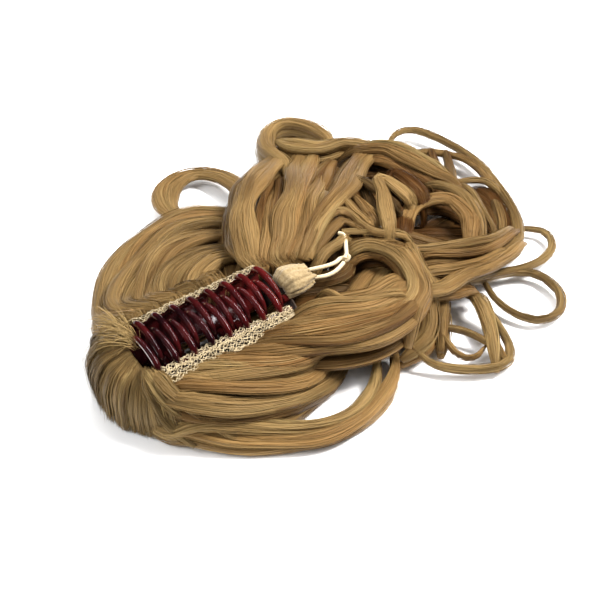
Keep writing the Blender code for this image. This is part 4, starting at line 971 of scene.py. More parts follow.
def knuckle_starts(side):
    shift = 0.0 if side < 0 else KNUCKLE_LENGTH + KNUCKLE_GAP
    pair = 2 * KNUCKLE_LENGTH + KNUCKLE_GAP
    return [centre - pair / 2 + shift for centre in (-KNUCKLE_PAIR_SPACING / 2, KNUCKLE_PAIR_SPACING / 2)]


def make_claw():
    material = claw_material()
    for node, side, offset in (("near_jaw", -1, 0.0), ("far_jaw", 1, TOOTH_PITCH / 2)):
        builder = Builder()
        builder.add_grid(to_world(jaw_plate_grid(side))[None], closed=True)
        for x in tooth_places(offset):
            builder.add_grid(to_world(tooth_grid(side, x))[None], closed=True)
        for start in knuckle_starts(side):
            knuckle = x_cylinder(start, start + KNUCKLE_LENGTH, KNUCKLE_RADIUS)
            builder.add_grid(to_world(knuckle)[None], closed=True)
            waist = min(abs(p.half_width) for p in JAW_SECTION) * JAW_HALF_WIDTH * side
            low, high = sorted((0.0, waist))
            web = WEB_HALF_HEIGHT
            ring = np.array(((0, low, -web), (0, high, -web), (0, high, web), (0, low, web)))
            ends = (start + WEB_INSET, start + KNUCKLE_LENGTH - WEB_INSET)
            rows = [ring + np.array((x, 0, 0)) for x in ends]
            builder.add_grid(to_world(np.stack(rows))[None], closed=True)
        if side < 0:
            nub = x_cylinder(NUB_START, NUB_END, NUB_RADIUS) + np.array((0, NUB_Y, NUB_HEIGHT))
            builder.add_grid(nub[None], closed=True)
        place(builder.finish(node + "_shaped", material), "claw", node)
    # The hinge pin's steel is painted near black: painted shade inside the claw
    steel, _, _, shader = new_material("pin_steel_drawn")
    feed(shader, {"Base Color": (0.16, 0.155, 0.15, 1), "Metallic": 1.0, "Roughness": 0.55})
    for item in bpy.data.objects:
        if item.name.split(".")[0] == "hinge_pin" and item.type == "MESH":
            for spot in item.material_slots:
                spot.material = steel


# Net

# Steps along each side and round each end of a ring: of the lace, and of the coarser cup
LACE_SIDE_STEPS = 120
LACE_END_STEPS = 28
CUP_SIDE_STEPS = 48
CUP_END_STEPS = 12
CUP_WALL = 0.0006
# Stitches of the lace: length of one, steps in it, courses on the near side and on the far side
STITCH = 0.0020
STITCH_STEPS = 7
COURSES = 9
FAR_COURSES = 3
CHAIN_TURN = 0.0028


def net_half_width():
    return JAW_HALF_WIDTH + JAW_THICKNESS / 2 + NET_FIT + NET_WALL / 2


def net_ring(row, side_steps=LACE_SIDE_STEPS, end_steps=LACE_END_STEPS):
    start, end = jaw_ends()
    half = net_half_width() * row.width
    level = row.height * (NET_FLOOR_DEPTH if row.height < 0 else JAW_HEIGHT)
    reach = NET_FIT + NET_WALL / 2
    first, last = start - reach, end + reach
    bulge = min(half, net_half_width()) * NET_END_BULGE
    front = min(half, net_half_width()) * NET_FRONT_BULGE
    ring = []
    for k in range(side_steps + 1):
        ring.append((start + (end - start) * k / side_steps, -half, level))
    for k in range(1, end_steps):
        angle = -math.pi / 2 + math.pi * k / end_steps
        ring.append((last + bulge * math.cos(angle), half * math.sin(angle), level))
    for k in range(side_steps + 1):
        ring.append((end + (start - end) * k / side_steps, half, level))
    for k in range(1, end_steps):
        angle = math.pi / 2 + math.pi * k / end_steps
        ring.append((first + front * math.cos(angle), half * math.sin(angle), level))
    middle = (start + end) / 2
    flared = []
    for x, y, z in ring:
        nearness = 0.5 - 0.5 * y / half
        band = NET_BAND_FAR + (NET_BAND_NEAR - NET_BAND_FAR) * nearness
        band *= 0.06 + 0.94 * min(1.0, max(0.0, nearness * 2 - 0.6) / 0.8)
        opening = min(1.0, max(0.0, (x - start + 0.0012) / 0.008))
        closing = min(1.0, max(0.10, (end + 0.006 - x) / 0.030))
        band *= opening * closing
        aim = Vector((0, y / half, 0))
        if x > end or x < start:
            aim.x = math.copysign(math.sqrt(max(0.0, 1 - aim.y ** 2)), x - middle)
        if aim.length > 0:
            aim.normalize()
        aim.x *= NET_END_FLARE
        flared.append((x + aim.x * band * row.flare, y + aim.y * band * row.flare, z + row.rise * band))
    return np.array(flared)


def rim_ring(inset, level, end_level):
    # Over the jaws' rims, between the teeth; at the ends it keeps to the net's wall
    ring = net_ring(NET_SECTION[4])
    start, end = jaw_ends()
    side = (ring[:, 0] > start - 0.0004) & (ring[:, 0] < end + 0.0004)
    ring[:, 2] = np.where(side, level, end_level)
    # On the far side it shows only between the teeth
    between = np.abs(np.sin(np.pi * (ring[:, 0] - tooth_places(TOOTH_PITCH / 2)[0]) / TOOTH_PITCH)) ** 1.5
    inset = inset * np.where(ring[:, 1] > 0, 0.15 + 0.75 * between, 1.0)
    ring[:, 1] = np.where(side, ring[:, 1] - np.sign(ring[:, 1]) * inset, ring[:, 1])
    return ring


RIM_ROWS = (
    RimRow(0.0034, 0.0193, 0.0165),
    RimRow(0.0018, 0.0202, 0.0172),
    RimRow(0.0003, 0.0197, 0.0178),
)


def band_surface(courses):
    # A grid over the lace: rows from inside the rim outwards, columns round the claw
    rows = [rim_ring(*row) for row in RIM_ROWS]
    rows += [net_ring(row) for row in NET_SECTION[6:]]
    rows = np.stack(rows)
    shares = np.array([0.0, 0.18, 0.36, 0.60, 0.72, 0.90, 1.0])
    want = np.linspace(0.0, 1.0, courses)
    grid = np.empty((courses,) + rows.shape[1:])
    for k in range(3):
        for c in range(rows.shape[1]):
            grid[:, c, k] = np.interp(want, shares, rows[:, c, k])
    return grid


def on_band(surface, u, w, lift):
    # u: length round the band in metres, w: 0 at the inner rim to 1 at the outer edge
    loop = np.concatenate((surface, surface[:, :1]), axis=1)
    middle = loop[len(loop) // 2]
    along = np.concatenate(([0.0], np.cumsum(np.linalg.norm(np.diff(middle, axis=0), axis=1))))
    column = np.interp(np.mod(u, along[-1]), along, np.arange(len(along)))
    row = np.clip(w, 0, 1) * (len(surface) - 1)
    c0 = np.minimum(column.astype(int), loop.shape[1] - 2)
    r0 = np.minimum(row.astype(int), len(surface) - 2)
    fc = (column - c0)[:, None]
    fr = (row - r0)[:, None]
    a, b = loop[r0, c0], loop[r0, c0 + 1]
    c, d = loop[r0 + 1, c0], loop[r0 + 1, c0 + 1]
    spot = a * (1 - fc) * (1 - fr) + b * fc * (1 - fr) + c * (1 - fc) * fr + d * fc * fr
    normal = unit(np.cross((b - a) * (1 - fr) + (d - c) * fr, (c - a) * (1 - fc) + (d - b) * fc))
    normal = np.where(normal[:, 2:3] < 0, -normal, normal)
    return spot + normal * np.asarray(lift)[:, None]


def band_length(surface):
    middle = np.vstack((surface[len(surface) // 2], surface[len(surface) // 2][:1]))
    return route_length(middle)


def make_net():
    cream = thread_material("net_thread_cream", (0.30, 0.225, 0.115), (0.60, 0.49, 0.30), 700.0)
    surface = band_surface(16)
    around = band_length(surface)
    builder = Builder()
    start, end = jaw_ends()
    middle_row = surface[len(surface) // 2]
    turn = route_length(middle_row[LACE_SIDE_STEPS:LACE_SIDE_STEPS + LACE_END_STEPS + 1])
    far_from = end - start + turn

    def strip(u_from, u_to):
        return np.arange(u_from, u_to, STITCH / STITCH_STEPS)

    def drift(u, amount):
        # A slow random change along the band
        total = 0 * u
        for _ in range(5):
            total = total + rng.normal(0, 1) * np.sin(2 * np.pi * u / around * rng.integers(3, 90)
                                                      + rng.uniform(0, 6.28))
        return amount * total / 2.2

    near = strip(0.0022, end - start - 0.0010)
    far = strip(far_from + 0.002, far_from + end - start - 0.006)
    for u, last in ((near, COURSES), (far, FAR_COURSES)):
        for c in range(last + 1):
            phase = 2 * np.pi * u / STITCH + np.pi * (c % 2) + drift(u, 1.7)
            swing = 0.62 + drift(u, 0.22)
            w = np.clip((c + swing * np.sin(phase) + drift(u, 0.42)) / COURSES, 0.0, 1.0)
            lift = 0.0004 + 0.00024 * np.sin(2 * phase) + drift(u, 0.00026)
            spots = to_world(on_band(surface, u + 0.00035 * np.sin(phase * 2) + drift(u, 0.0003), w, lift))
            thick = np.maximum(0.00010, 0.00017 + 0.00004 * np.sin(2 * phase + 1.0) + drift(u, 0.00005))
            builder.add_grid(tube_grid(spots, thick, 5, tips=False)[None], closed=True)
    # Chained courses: two threads twisted round each other
    for u, w_edge, radius in ((near, 0.36, 0.00022), (near, 0.95, 0.00026)):
        spin = 2 * np.pi * u / CHAIN_TURN + drift(u, 0.8)
        for begin in (0.0, np.pi):
            w = np.clip(w_edge + 0.05 * np.cos(spin + begin) + drift(u, 0.05), 0.0, 1.0)
            lift = 0.0005 + 0.00030 * np.sin(spin + begin)
            spots = to_world(on_band(surface, u, w, lift))
            builder.add_grid(tube_grid(spots, radius, 5, tips=False)[None], closed=True)
    band = place(builder.finish("net_crochet_band", cream), "net", "net_base")
    # The stretched cup below the band, its knit painted near black: painted shade inside the claw
    dark = thread_material("net_cup_knit", (0.020, 0.012, 0.008), (0.060, 0.036, 0.020), 900.0, 0.9)
    rows = np.stack([net_ring(row, CUP_SIDE_STEPS, CUP_END_STEPS) for row in NET_SECTION[:6]])
    cup = Builder()
    cup.add_grid(to_world(rows)[None], closed=True)
    item = cup.finish("net_cup", dark)
    thicken(item, CUP_WALL)
    place(item, "net", "net_base")
    around_cup = float(np.mean([route_length(np.vstack((r, r[:1]))) for r in rows]))
    deep = route_length(rows[:, CUP_SIDE_STEPS + CUP_END_STEPS])


# Hood

# The cloth narrows toward the claw, before the part's first section
HOOD_NECK = (
    HoodRow(-0.36, 0.10, -0.30, 0.42, 0.42),
    HoodRow(-0.26, 0.08, -0.08, 0.74, 0.72),
)
HOOD_CLOTH = 0.0007


def hood_start():
    _, end = jaw_ends()
    bulge = net_half_width() * NET_END_BULGE + NET_BAND_NEAR * NET_END_FLARE
    return end + NET_FIT + NET_WALL + bulge + CLEARANCE


def make_hood():
    cloth = thread_material("hood_cloth_woven", (0.22, 0.15, 0.065), (0.38, 0.285, 0.15), 900.0)
    rows = []
    count = 120
    angle = 2 * np.pi * np.arange(count) / count
    table = np.array(HOOD_NECK + HOOD_SECTIONS)
    steps = np.linspace(-0.34, 1.06, 32)
    for s in steps:
        cy, cz, hw, hh = [np.interp(s, table[:, 0], table[:, k]) for k in range(1, 5)]
        gather = 0.00055 * (0.35 + 0.65 * abs(2 * max(s, -0.1) - 0.7))
        fold = gather * (np.cos(9 * angle + 1.2 * s) + 0.6 * np.cos(17 * angle - 2.0 * s + 1.0))
        wide = hw * HOOD_HALF_WIDTH + fold
        deep = hh * HOOD_HALF_HEIGHT + fold
        x = hood_start() + s * HOOD_LENGTH + 0.0006 * np.sin(5 * angle + 0.7) * (s > 0.9)
        x = x + 0.0005 * np.sin(3 * angle) * abs(s - 0.5)
        rows.append(np.column_stack((x, cy * HOOD_HALF_WIDTH + wide * np.cos(angle),
                                     HOOD_HEIGHT + cz * HOOD_HALF_HEIGHT + deep * np.sin(angle))))
    builder = Builder()
    grid = np.stack(rows)
    builder.add_grid(grid[None], closed=True)
    item = builder.finish("hood_gathered", cloth)
    thicken(item, HOOD_CLOTH)
    place(item, "hood_cloth", "hood")
    around = float(np.max([route_length(np.vstack((r, r[:1]))) for r in rows]))


# Hair

# Half widths of a strand
STRAND_HALF = 0.000125
FINE_STRAND_HALF = 0.00012
# Widths over a lock that one clump and one smaller lock take
CLUMP_WIDTH = 0.0011
SUB_LOCK_WIDTH = 0.0080

DARK = np.array((0.060, 0.027, 0.008))
MID = np.array((0.212, 0.127, 0.046))
LIGHT = np.array((0.365, 0.245, 0.097))
ASH = np.array((0.262, 0.199, 0.083))


def palette(tone, ash):
    tone = np.clip(tone, 0.0, 1.0)[..., None]
    low = DARK + (MID - DARK) * np.clip(tone * 2, 0, 1)
    colour = low + (LIGHT - MID) * np.clip(tone * 2 - 1, 0, 1)
    warm = np.clip(-ash, 0.0, 0.5)[..., None]
    ash = np.clip(ash, 0.0, 1.0)[..., None]
    brightness = colour.mean(axis=-1, keepdims=True) / ASH.mean()
    colour = colour * (1 - warm * np.array((0.0, 0.35, 0.6)))
    return colour * (1 - ash) + ASH * brightness * ash


def strand_ribbons(builder, route, wide, deep, count, first_angle, last_angle, tone, ash, wave,
                   strays=0.03, size=STRAND_HALF):
    """Ribbons in clumps over a lock's surface, from one angle of its section to another."""
    n = len(route)
    ahead, across, upward = level_frames(route)
    t = np.linspace(0.0, 1.0, n)
    length = route_length(route)
    arc = (last_angle - first_angle) * (wide.mean() + deep.mean()) / 2
    clumps = max(4, int(round(arc / CLUMP_WIDTH)))
    spread = (last_angle - first_angle) / clumps
    angle_c = first_angle + spread * (np.arange(clumps) + rng.uniform(0.1, 0.9, clumps))
    radius_c = rng.uniform(0.965, 1.015, clumps)
    tone_c = rng.normal(0.0, 0.065, clumps)
    ash_c = rng.normal(0.0, 0.10, clumps)
    wave_c = rng.uniform(0.3, 1.0, clumps) * 0.0006
    rate_c = length / rng.uniform(0.040, 0.100, clumps)
    phase_c = rng.uniform(0, 2 * np.pi, clumps)
    pinch_c = rng.uniform(0, 2 * np.pi, clumps)
    which = rng.integers(0, clumps, count)
    a = angle_c[which] + rng.normal(0, spread * 1.1, count)
    r = radius_c[which] - np.abs(rng.normal(0, 0.05, count))
    stray = rng.random(count) < strays
    r = np.where(stray, r + rng.uniform(0.05, 0.45, count), r)
    base_a = (np.cos(a) * r)[:, None]
    base_b = (np.sin(a) * r)[:, None]
    centre_a = (np.cos(angle_c) * radius_c)[which][:, None]
    centre_b = (np.sin(angle_c) * radius_c)[which][:, None]
    pinch = 0.85 + 0.35 * np.sin(2 * np.pi * t[None] * rate_c[which][:, None] * 0.7 + pinch_c[which][:, None])
    sec_a = centre_a + (base_a - centre_a) * pinch
    sec_b = centre_b + (base_b - centre_b) * pinch
    sway_at = 2 * np.pi * t[None] * rate_c[which][:, None] + phase_c[which][:, None]
    sway = wave_c[which][:, None] * np.sin(sway_at)
    own = rng.uniform(0.1, 1.0, (count, 1)) * 0.00028
    own = np.where(stray[:, None], own * 5.0, own)
    own_rate = length / rng.uniform(0.025, 0.070, (count, 1))
    sway = sway + own * np.sin(2 * np.pi * t[None] * own_rate + rng.uniform(0, 6.28, (count, 1)))
    heave = own * 0.6 * np.sin(2 * np.pi * t[None] * own_rate * 0.8 + rng.uniform(0, 6.28, (count, 1)))
    tangent_a = -np.sin(a)[:, None]
    tangent_b = np.cos(a)[:, None]
    off_a = sec_a * wide[None] + sway * np.abs(tangent_a) + heave * np.cos(a)[:, None]
    off_b = sec_b * deep[None] + sway * tangent_b * 0.5 + heave * np.sin(a)[:, None]
    spots = route[None] + across[None] * off_a[..., None] + upward[None] * off_b[..., None]
    # Each strand starts and ends a little before or after its neighbours
    head = rng.uniform(0.0, 0.06, count) * min(1.0, 0.06 / length)
    tail = 1.0 - np.abs(rng.normal(0, 0.05, count)).clip(0, 0.25)
    want = head[:, None] + (tail - head)[:, None] * t[None]
    place_at = want * (n - 1)
    low = np.minimum(place_at.astype(int), n - 2)
    part = (place_at - low)[..., None]
    rows = np.arange(count)[:, None]
    spots = spots[rows, low] * (1 - part) + spots[rows, low + 1] * part
    spots[..., 2] = np.maximum(spots[..., 2], 0.0005)
    out = (across[low] * (np.cos(a)[:, None] / wide[low])[..., None]
           + upward[low] * (np.sin(a)[:, None] / deep[low])[..., None])
    add_ribbons(builder, spots, unit(out), size, stray,
                tone + tone_c[which], ash + ash_c[which], phase_c[which], length, wave)


def add_ribbons(builder, spots, out, size, stray, tone, ash, phase, length, wave=0.0):
    """Flat strands along spots (count, n, 3), facing out with a small turn of their own."""
    count, n = spots.shape[:2]
    t = np.linspace(0.0, 1.0, n)
    along = unit(np.gradient(spots, axis=1))
    side = unit(np.cross(along, out))
    lift = np.cross(side, along)
    roll = rng.normal(0, 0.38, (count, 1))
    roll = roll + 0.25 * np.sin(2 * np.pi * t[None] * 1.5 + rng.uniform(0, 6.28, (count, 1)))
    side = side * np.cos(roll)[..., None] + lift * np.sin(roll)[..., None]
    half = rng.uniform(0.60, 1.30, (count, 1)) * size
    half = np.where(stray[:, None], half * 0.6, half)
    half = half * np.minimum(1.0, 0.30 + 6.0 * np.minimum(t, 1 - t))[None]
    grid = np.stack((spots - side * half[..., None], spots + side * half[..., None]), axis=2)
    shade = tone[:, None] + rng.normal(0, 0.055, (count, 1)) + wave
    shade = shade + 0.05 * np.sin(2 * np.pi * t[None] * 1.3 + phase[:, None])
    grey = ash[:, None] + rng.normal(0, 0.05, (count, 1)) + 0 * t[None]
    colours = np.repeat(palette(shade, grey)[:, :, None], 2, axis=2)
    uvs = np.empty((count, n, 2, 2))
    uvs[..., 0] = (t * length)[None, :, None]
    uvs[..., 1] = rng.uniform(0, 4, (count, 1, 1)) + np.array((0.0, 0.0004))[None, None]
    builder.add_grid(grid, colours, uvs)


def lock_body(builder, route, wide, deep, tone, ash, sides=10):
    ahead, across, upward = level_frames(route)
    angles = 2 * np.pi * (np.arange(sides) + 0.5) / sides
    c = np.cos(angles)[None, :, None]
    s = np.sin(angles)[None, :, None]
    sideways = across[:, None] * wide[:, None, None] * c
    rings = route[:, None] + sideways + upward[:, None] * deep[:, None, None] * s
    first, last = (np.repeat(end[:, None], sides, axis=1) for end in (route[:1], route[-1:]))
    rings = np.concatenate((first, rings, last))
    rings[..., 2] = np.maximum(rings[..., 2], 0.0003)
    n = len(rings)
    t = np.linspace(0, 1, n)
    shade = tone + 0.05 * np.sin(9 * t)[:, None] + rng.normal(0, 0.05, (1, sides))
    colours = palette(shade, np.full_like(shade, ash))
    uvs = np.empty((n, sides, 2))
    uvs[..., 0] = (t * route_length(route))[:, None]
    uvs[..., 1] = (np.arange(sides) / sides * np.pi * (wide.mean() + deep.mean()))[None] + rng.uniform(0, 4)
    builder.add_grid(rings[None], colours.reshape(-1, 3), uvs[None], closed=True)


def lock_sizes(n, width, end, depth, reach=2.2):
    t = np.linspace(0, 1, n)
    taper = np.minimum(1.0, 0.55 + reach * np.minimum(t, 1 - t))
    across = width + (end - width) * t
    return across / 2 * taper, depth / 2 * taper


# Where the dome's strands leave the net's rim, along the far side, the front and the near side: the
# angle in degrees, and x and y in the claw's frame in millimetres
LIP_PLACES = (
    (66, -24.0, 17.0),
    (96, -36.5, 16.6),
    (122, -39.3, 13.5),
    (180, -40.0, 0.0),
    (236, -39.6, -14.6),
    (258, -37.6, -17.6),
    (290, -33.0, -19.2),
)
# How far they rise over it there, in millimetres, by angle in degrees
LIP_ANGLES = (66, 110, 130, 236, 262, 290)
LIP_RISES = (2.6, 2.2, 0.6, 0.4, 1.2, 1.6)


def dome_paths(angles, jitter):
    """Paths (count, n, 3) from the claw's front rim out over the dome and down to the table."""
    start, _ = jaw_ends()
    half = net_half_width()
    centre = to_world(np.array((start + half * 0.65, 0, JAW_HEIGHT)))
    table = np.array([tuple(row) for row in DOME_LOCKS], dtype=float)
    stations = np.array([tuple(row) for row in DOME_STATIONS])
    degrees = np.degrees(angles)
    reach = np.interp(degrees, table[:, 0], table[:, 1])
    rim = np.array(LIP_PLACES)
    rim_x = np.interp(degrees, rim[:, 0], rim[:, 1]) / 1000
    rim_y = np.interp(degrees, rim[:, 0], rim[:, 2]) / 1000
    rise = np.interp(degrees, LIP_ANGLES, LIP_RISES) / 1000
    local = np.stack((rim_x, rim_y, JAW_HEIGHT + rise), axis=-1)
    lip = to_world(local)
    swirl = np.radians(np.interp(degrees, (60, 110, 200, 290), (-22, -6, 4, 30)))
    tilt = np.sin(angles) * half * math.sin(CLAW_ROLL)
    runs = [lip + np.array((0.0004, 0, -0.0110)), lip + np.array((0.0002, 0, -0.0030)), lip]
    for k, (out, level) in enumerate(stations[1:]):
        turn = angles + swirl * (k + 1) / len(stations) + jitter[:, 0] * (k + 1) / 6
        away = half + out * reach * DOME_REACH + jitter[:, 1] * min(1.0, k / 2)
        height = level * (DOME_HEIGHT + tilt) + jitter[:, 1] * 0.6 * min(1.0, k / 2)
        if k == len(stations) - 2:
            height = np.full(len(angles), 0.0012) + np.abs(jitter[:, 1]) * 0.3
            away = away + 0.0045
        x = centre[0] + np.cos(turn) * away
        y = centre[1] + np.sin(turn) * away
        runs.append(np.stack((x, y, height), axis=-1))
    spots = np.stack(runs)
    spots = smooth_route(spots, 2)
    return spots.transpose(1, 0, 2), centre


def make_dome(builder, density):
    low, high = math.radians(64), math.radians(288)
    # The body under the strands, painted dark: painted shade beneath them
    wedges = 60
    angles = np.linspace(low, high, wedges)
    paths, _ = dome_paths(angles, np.column_stack((np.zeros(wedges), np.full(wedges, -0.0022))))
    shade = 0.16 + 0.05 * rng.normal(0, 1, (wedges, 1)) + np.zeros((1, paths.shape[1]))
    uvs = np.empty((wedges, paths.shape[1], 2))
    uvs[..., 0] = np.linspace(0, 0.06, paths.shape[1])[None]
    uvs[..., 1] = np.linspace(0, 0.15, wedges)[:, None]
    builder.add_grid(paths[None], palette(shade, np.full_like(shade, 0.3)).reshape(-1, 3), uvs[None])
    clumps = 230
    middles = rng.uniform(low, high, clumps)
    count = int(5200 * density)
    which = rng.integers(0, clumps, count)
    angles = np.clip(middles[which] + rng.normal(0, 0.016, count), low, high)
    jitter_c = np.column_stack((rng.normal(0, 0.05, clumps), rng.normal(0, 0.0008, clumps)))
    jitter = jitter_c[which] + np.column_stack((rng.normal(0, 0.03, count), rng.normal(0, 0.0004, count)))
    stray = rng.random(count) < 0.03
    jitter[stray, 1] += rng.uniform(0.0005, 0.003, int(stray.sum()))
    paths, centre = dome_paths(angles, jitter)
    paths[..., 2] = np.maximum(paths[..., 2], 0.0005)
    out = unit(paths - np.array((centre[0], centre[1], 0.004)))
    tone_c = rng.normal(0, 0.15, clumps)
    add_ribbons(builder, paths, out, FINE_STRAND_HALF, stray, 0.42 + tone_c[which],
                0.32 + 0.12 * rng.normal(0, 1, clumps)[which], rng.uniform(0, 6.28, clumps)[which], 0.06)


def make_wisps(builder, density):
    """Short loose hairs that stand out over the claw's first teeth."""
    count = int(220 * density)
    n = 9
    t = np.linspace(0, 1, n)[None, :, None]
    local = np.stack((rng.uniform(-0.0385, -0.0330, count), rng.uniform(0.001, 0.0165, count),
                      np.full(count, JAW_HEIGHT + 0.001)), axis=-1)
    first = to_world(local)[:, None]
    turn = np.radians(rng.normal(120, 22, count))
    reach = rng.uniform(0.008, 0.020, count)
    away = np.stack((np.cos(turn), np.sin(turn), np.zeros(count)), axis=-1)[:, None] * reach[:, None, None]
    rise = rng.uniform(0.002, 0.0055, count)[:, None, None] * np.array((0.0, 0.0, 1.0))
    paths = first + away * t + rise * np.sin(np.pi * t * rng.uniform(0.55, 0.95, (count, 1, 1)))
    out = np.tile(np.array((0.0, 0.0, 1.0)), (count, n, 1))
    add_ribbons(builder, paths, out, FINE_STRAND_HALF, np.zeros(count, dtype=bool), np.full(count, 0.62),
                np.full(count, 0.35), rng.uniform(0, 6.28, count), 0.012)


def sub_locks(route, wide, deep, top):
    """Smaller locks over one lock's face, each with its own sway: route, half width, half depth."""
    n = len(route)
    t = np.linspace(0, 1, n)
    length = route_length(route)
    ahead, across, upward = level_frames(route)
    many = max(1, int(round(2 * wide.mean() / SUB_LOCK_WIDTH)))
    if not top:
        many = min(many, 2)
    runs = []
    for m in range(many):
        u = 0.74 * (-1 + (2 * m + 1) / many)
        sway = rng.uniform(0.06, 0.18) * np.sin(2 * np.pi * t * length / rng.uniform(0.070, 0.130)
                                               + rng.uniform(0, 6.28))
        heave = rng.uniform(0.04, 0.14) * np.sin(2 * np.pi * t * length / rng.uniform(0.060, 0.120)
                                                + rng.uniform(0, 6.28))
        a = u + sway
        b = (0.34 if many > 1 else 0.05) * math.sqrt(1 - u * u) + heave + rng.normal(0, 0.05)
        bulge = 1 + 0.16 * np.sin(2 * np.pi * t * length / rng.uniform(0.05, 0.10) + rng.uniform(0, 6.28))
        share = 1.22 / many if many > 1 else 0.92
        runs.append((a, b, wide * share * bulge, deep * (0.72 if many > 1 else 0.92)))
    if top and many >= 2:
        first = rng.uniform(0.25, 0.65) * rng.choice((-1, 1))
        last = -first * rng.uniform(0.3, 1.0)
        a = first + (last - first) * (3 * t ** 2 - 2 * t ** 3)
        b = 0.50 + 0.08 * np.sin(2 * np.pi * t * 1.3 + rng.uniform(0, 6.28))
        runs.append((a, b * np.ones(n), wide * 0.30, deep * 0.34))
    for a, b, half_width, half_depth in runs:
        spots = route + across * (a * wide)[:, None] + upward * (b * deep)[:, None]
        spots[:, 2] = np.maximum(spots[:, 2], half_depth * 0.8)
        yield spots, half_width, half_depth


def dress_lock(builder, stations, width, end, depth, density, top, tone, ash):
    fine = smooth_route(stations, 12)
    length = route_length(fine)
    n = max(10, int(round(length / 0.0042)))
    route = resample(fine, n)
    wide, deep = lock_sizes(n, width, end, depth)
    core = max(8, n // 2)
    core_wide, core_deep = lock_sizes(core, width, end, depth)
    # A core painted 0.30 darker than the lock: painted shade between its smaller locks
    lock_body(builder, resample(fine, core), core_wide * 0.74, core_deep * 0.62, tone - 0.30, ash, 8)
    for run, half_width, half_depth in sub_locks(route, wide, deep, top):
        shade = tone + rng.normal(0, 0.07)
        grey = ash + rng.normal(0, 0.12)
        pick = np.linspace(0, n - 1, core).astype(int)
        # Broad light and dark along the lock
        wave_at = 2 * np.pi * np.linspace(0, 1, n) * length / rng.uniform(0.05, 0.11)
        wave = 0.11 * np.sin(wave_at + rng.uniform(0, 6.28))
        # Each smaller lock's body is painted 0.10 darker: painted shade between its strands
        lock_body(builder, run[pick], half_width[pick] * 0.86, half_depth[pick] * 0.84, shade - 0.10, grey, 8)
        arc = math.pi * (half_width.mean() + half_depth.mean()) * 0.62
        count = max(6, int(arc / 0.00034 * density))
        strand_ribbons(builder, run, half_width, half_depth, count, math.radians(-30), math.radians(210),
                       shade, grey, wave[None])


GROUPS = {
    "hair_near": ("near_",),
    "hair_upper": ("upper_", "eye_", "under_hood", "under_knot", "under_tail", "under_nook", "drop_"),
    "hair_middle": ("middle_", "back_"),
    "hair_left": ("left_",),
    "hair_right": ("top_", "under_top", "under_ring", "great_", "inner_", "right_", "small_", "low_"),
}


BED_SIDES = 48


def bed_grid():
    start, end = jaw_ends()
    middle = (start + end) / 2
    rows = []
    angle = 2 * np.pi * np.arange(BED_SIDES) / BED_SIDES
    for level, share in ((0.02, 0.0), (0.02, 0.90), (0.35, 1.00), (0.8, 0.95), (1.0, 0.80), (1.0, 0.0)):
        rows.append(np.column_stack((middle + BED_HALF_LENGTH * share * np.cos(angle),
                                     BED_HALF_WIDTH * share * np.sin(angle),
                                     np.full(BED_SIDES, BED_HEIGHT * level))))
    return np.stack(rows)


# How many strands each group has, against one that just covers it
DENSITY = {"hair_near": 2.3, "hair_upper": 2.1, "hair_middle": 1.45, "hair_left": 1.8, "hair_right": 1.9}
# How light and how grey each run of locks is: the first row whose start fits a name counts
LOOKS = (
    Look("near_low", 0.62, 0.05),
    Look("near_", 0.52, 0.05),
    Look("upper_1", 0.34, -0.12),
    Look("upper_2", 0.40, -0.10),
    Look("upper_3", 0.42, -0.02),
    Look("upper_4", 0.54, 0.05),
    Look("upper_5", 0.58, 0.08),
    Look("under_hood", 0.36, 0.10),
    Look("under_knot", 0.36, 0.10),
    Look("under_tail", 0.36, 0.10),
    Look("under_", 0.05, 0.05),
    Look("middle_", 0.50, 0.12),
    Look("back_curl", 0.62, 0.22),
    Look("back_", 0.55, 0.18),
    Look("left_", 0.36, 0.20),
    Look("eye_", 0.47, 0.10),
    Look("top_", 0.44, 0.14),
    Look("right_", 0.44, 0.08),
    Look("small_", 0.50, 0.05),
    Look("low_", 0.46, 0.05),
    Look("drop_", 0.48, 0.05),
)
# Locks and tresses whose last end dives under its neighbours
MIDDLE_BASE = ("middle_1", "middle_2", "middle_3", "middle_4", "middle_6")
MIDDLE_TUCKED = tuple("middle_" + letter for letter in "abcdefghij")
TUCKED = (*MIDDLE_BASE, *MIDDLE_TUCKED, "upper_", "back_roll", "great_arc")


def dived(stations, reach, low):
    """A station before the first one, sunk into the mass."""
    first = stations[0] + unit(stations[0] - stations[1]) * reach
    first[2] = stations[0, 2] * low
    return np.vstack((first[None], stations))


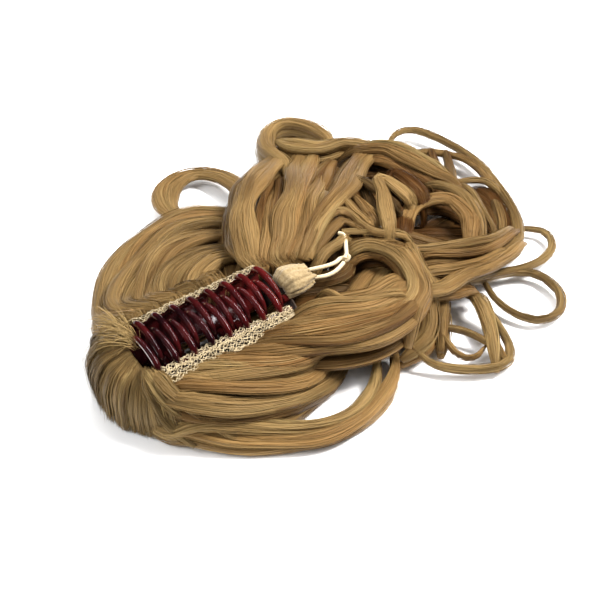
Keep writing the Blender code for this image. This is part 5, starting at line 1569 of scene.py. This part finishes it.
def lock_stations(lock):
    stations = np.array(lock.route) * np.array((FALL_LENGTH, FALL_WIDTH, PILE_HEIGHT))
    if lock.name.startswith(("left_", "middle_")) and lock.name != "left_loop" and stations[0, 1] > 0.009:
        # These come up from below the net's far rim
        low = stations[0].copy()
        low[1] = min(low[1], 0.0170)
        low[2] = 0.0250
        first = stations[0].copy()
        first[1] = min(first[1], 0.0185)
        first[2] = 0.0345
        stations[0, 1] = max(stations[0, 1], first[1] + 0.0035)
        stations[0, 2] = max(stations[0, 2], 0.0355)
        stations = np.vstack((low[None], first[None], stations))
    if lock.name.startswith(("near_middle", "upper_")):
        # These come out under its near band
        stations[0, 1] = -0.0125
        stations[0, 2] = 0.0160
        second = stations[1] * 0.42 + stations[0] * 0.58
        second[2] = min(0.0245, stations[1, 2] - 0.003)
        stations = np.vstack((stations[:1], second[None], stations[1:]))
    if lock.name.startswith("near_low"):
        inside = np.array(((-0.036, -0.006, 0.012), (-0.042, -0.018, 0.010), (-0.040, -0.028, 0.008)))
        stations = np.vstack((inside, stations[2:]))
    if lock.name.startswith("near_fan"):
        stations = dived(stations, 0.006, 0.75)
        stations = dived(stations[::-1], 0.022, 0.35)[::-1]
    if lock.name.startswith(TUCKED):
        stations = dived(stations[::-1], 0.012, 0.45)[::-1]
    if lock.name.startswith(SUNK) and isinstance(lock, Tress):
        stations = dived(stations, 0.010, 0.55)
        stations = dived(stations[::-1], 0.010, 0.50)[::-1]
    return stations


# Locks under the tresses
BENEATH = (*MIDDLE_BASE, "under_", "eye_core", "top_across")
# Tresses whose two ends go under their neighbours
MIDDLE_SUNK = tuple("middle_" + letter for letter in "klmnopq")
SUNK = (*MIDDLE_SUNK, "low_tress", "eye_", "under_", "top_", "right_bar", "inner_", "great_second")


# The locks beneath are lowered, painted dark as shade under the tresses, and thinly covered
BENEATH_LEVEL = 0.78
BENEATH_PAINTED_SHADE = 0.06
BENEATH_MIDDLE_PAINTED_SHADE = 0.16
THIN_COVER = 0.25
# What darkens the tresses, and how much denser their strands are than the locks'
TRESS_SHADE = {group: 0.09 if group == "hair_middle" else 0.03 for group in GROUPS}
TRESS_COVER = 1.1


def make_hair():
    material = hair_material()
    density = 1.0
    for group, prefixes in GROUPS.items():
        builder = Builder()
        for lock in LOCKS:
            if not lock.name.startswith(prefixes):
                continue
            stations = lock_stations(lock)
            lowest = lock.depth * LOCK_DEPTH * 0.4
            look = next(row for row in LOOKS if lock.name.startswith(row.start))
            tone = look.tone + rng.normal(0, 0.03)
            beneath = lock.name.startswith(BENEATH)
            if beneath:
                stations[:, 2] *= BENEATH_LEVEL
                # Painted shade: the locks beneath take a dark tone
                tone = BENEATH_PAINTED_SHADE
                if lock.name.startswith("middle_"):
                    stations = stations[:-1]
                    tone = BENEATH_MIDDLE_PAINTED_SHADE
            # Each lower layer is painted 0.06 darker: painted shade under the layers above
            for layer in range(lock.layers):
                share = 1.0 - layer / lock.layers
                run = stations.copy()
                run[:, 2] = np.maximum(run[:, 2] * share, lowest)
                amount = density * DENSITY[group] * (1.0 if layer == 0 and not beneath else THIN_COVER)
                dress_lock(builder, run, lock.width * LOCK_WIDTH, lock.end * LOCK_WIDTH,
                           lock.depth * LOCK_DEPTH, amount, layer == 0, tone - 0.06 * layer, look.ash)
        for tress in TRESSES:
            if tress.name.startswith(prefixes):
                tone = tress.tone - TRESS_SHADE[group]
                dress_lock(builder, lock_stations(tress), tress.width * LOCK_WIDTH, tress.end * LOCK_WIDTH,
                           tress.depth * LOCK_DEPTH, density * DENSITY[group] * TRESS_COVER, True,
                           tone, tress.ash)
        place(builder.finish(group, material), "hair", "hair")
    builder = Builder()
    # A bed under the heap, painted dark: painted shade beneath the hair
    bed = bed_grid()
    points = bed.shape[0] * bed.shape[1]
    builder.add_grid(bed[None], np.tile(palette(np.array([0.2]), np.array([0.1])), (points, 1)),
                     np.zeros((points, 2)), closed=True)
    make_dome(builder, density)
    make_wisps(builder, density)
    place(builder.finish("hair_dome", material), "hair", "hair")


make_camera()
make_stage()
make_lights()
make_elastic()
make_claw()
make_hair()
make_net()
make_hood()
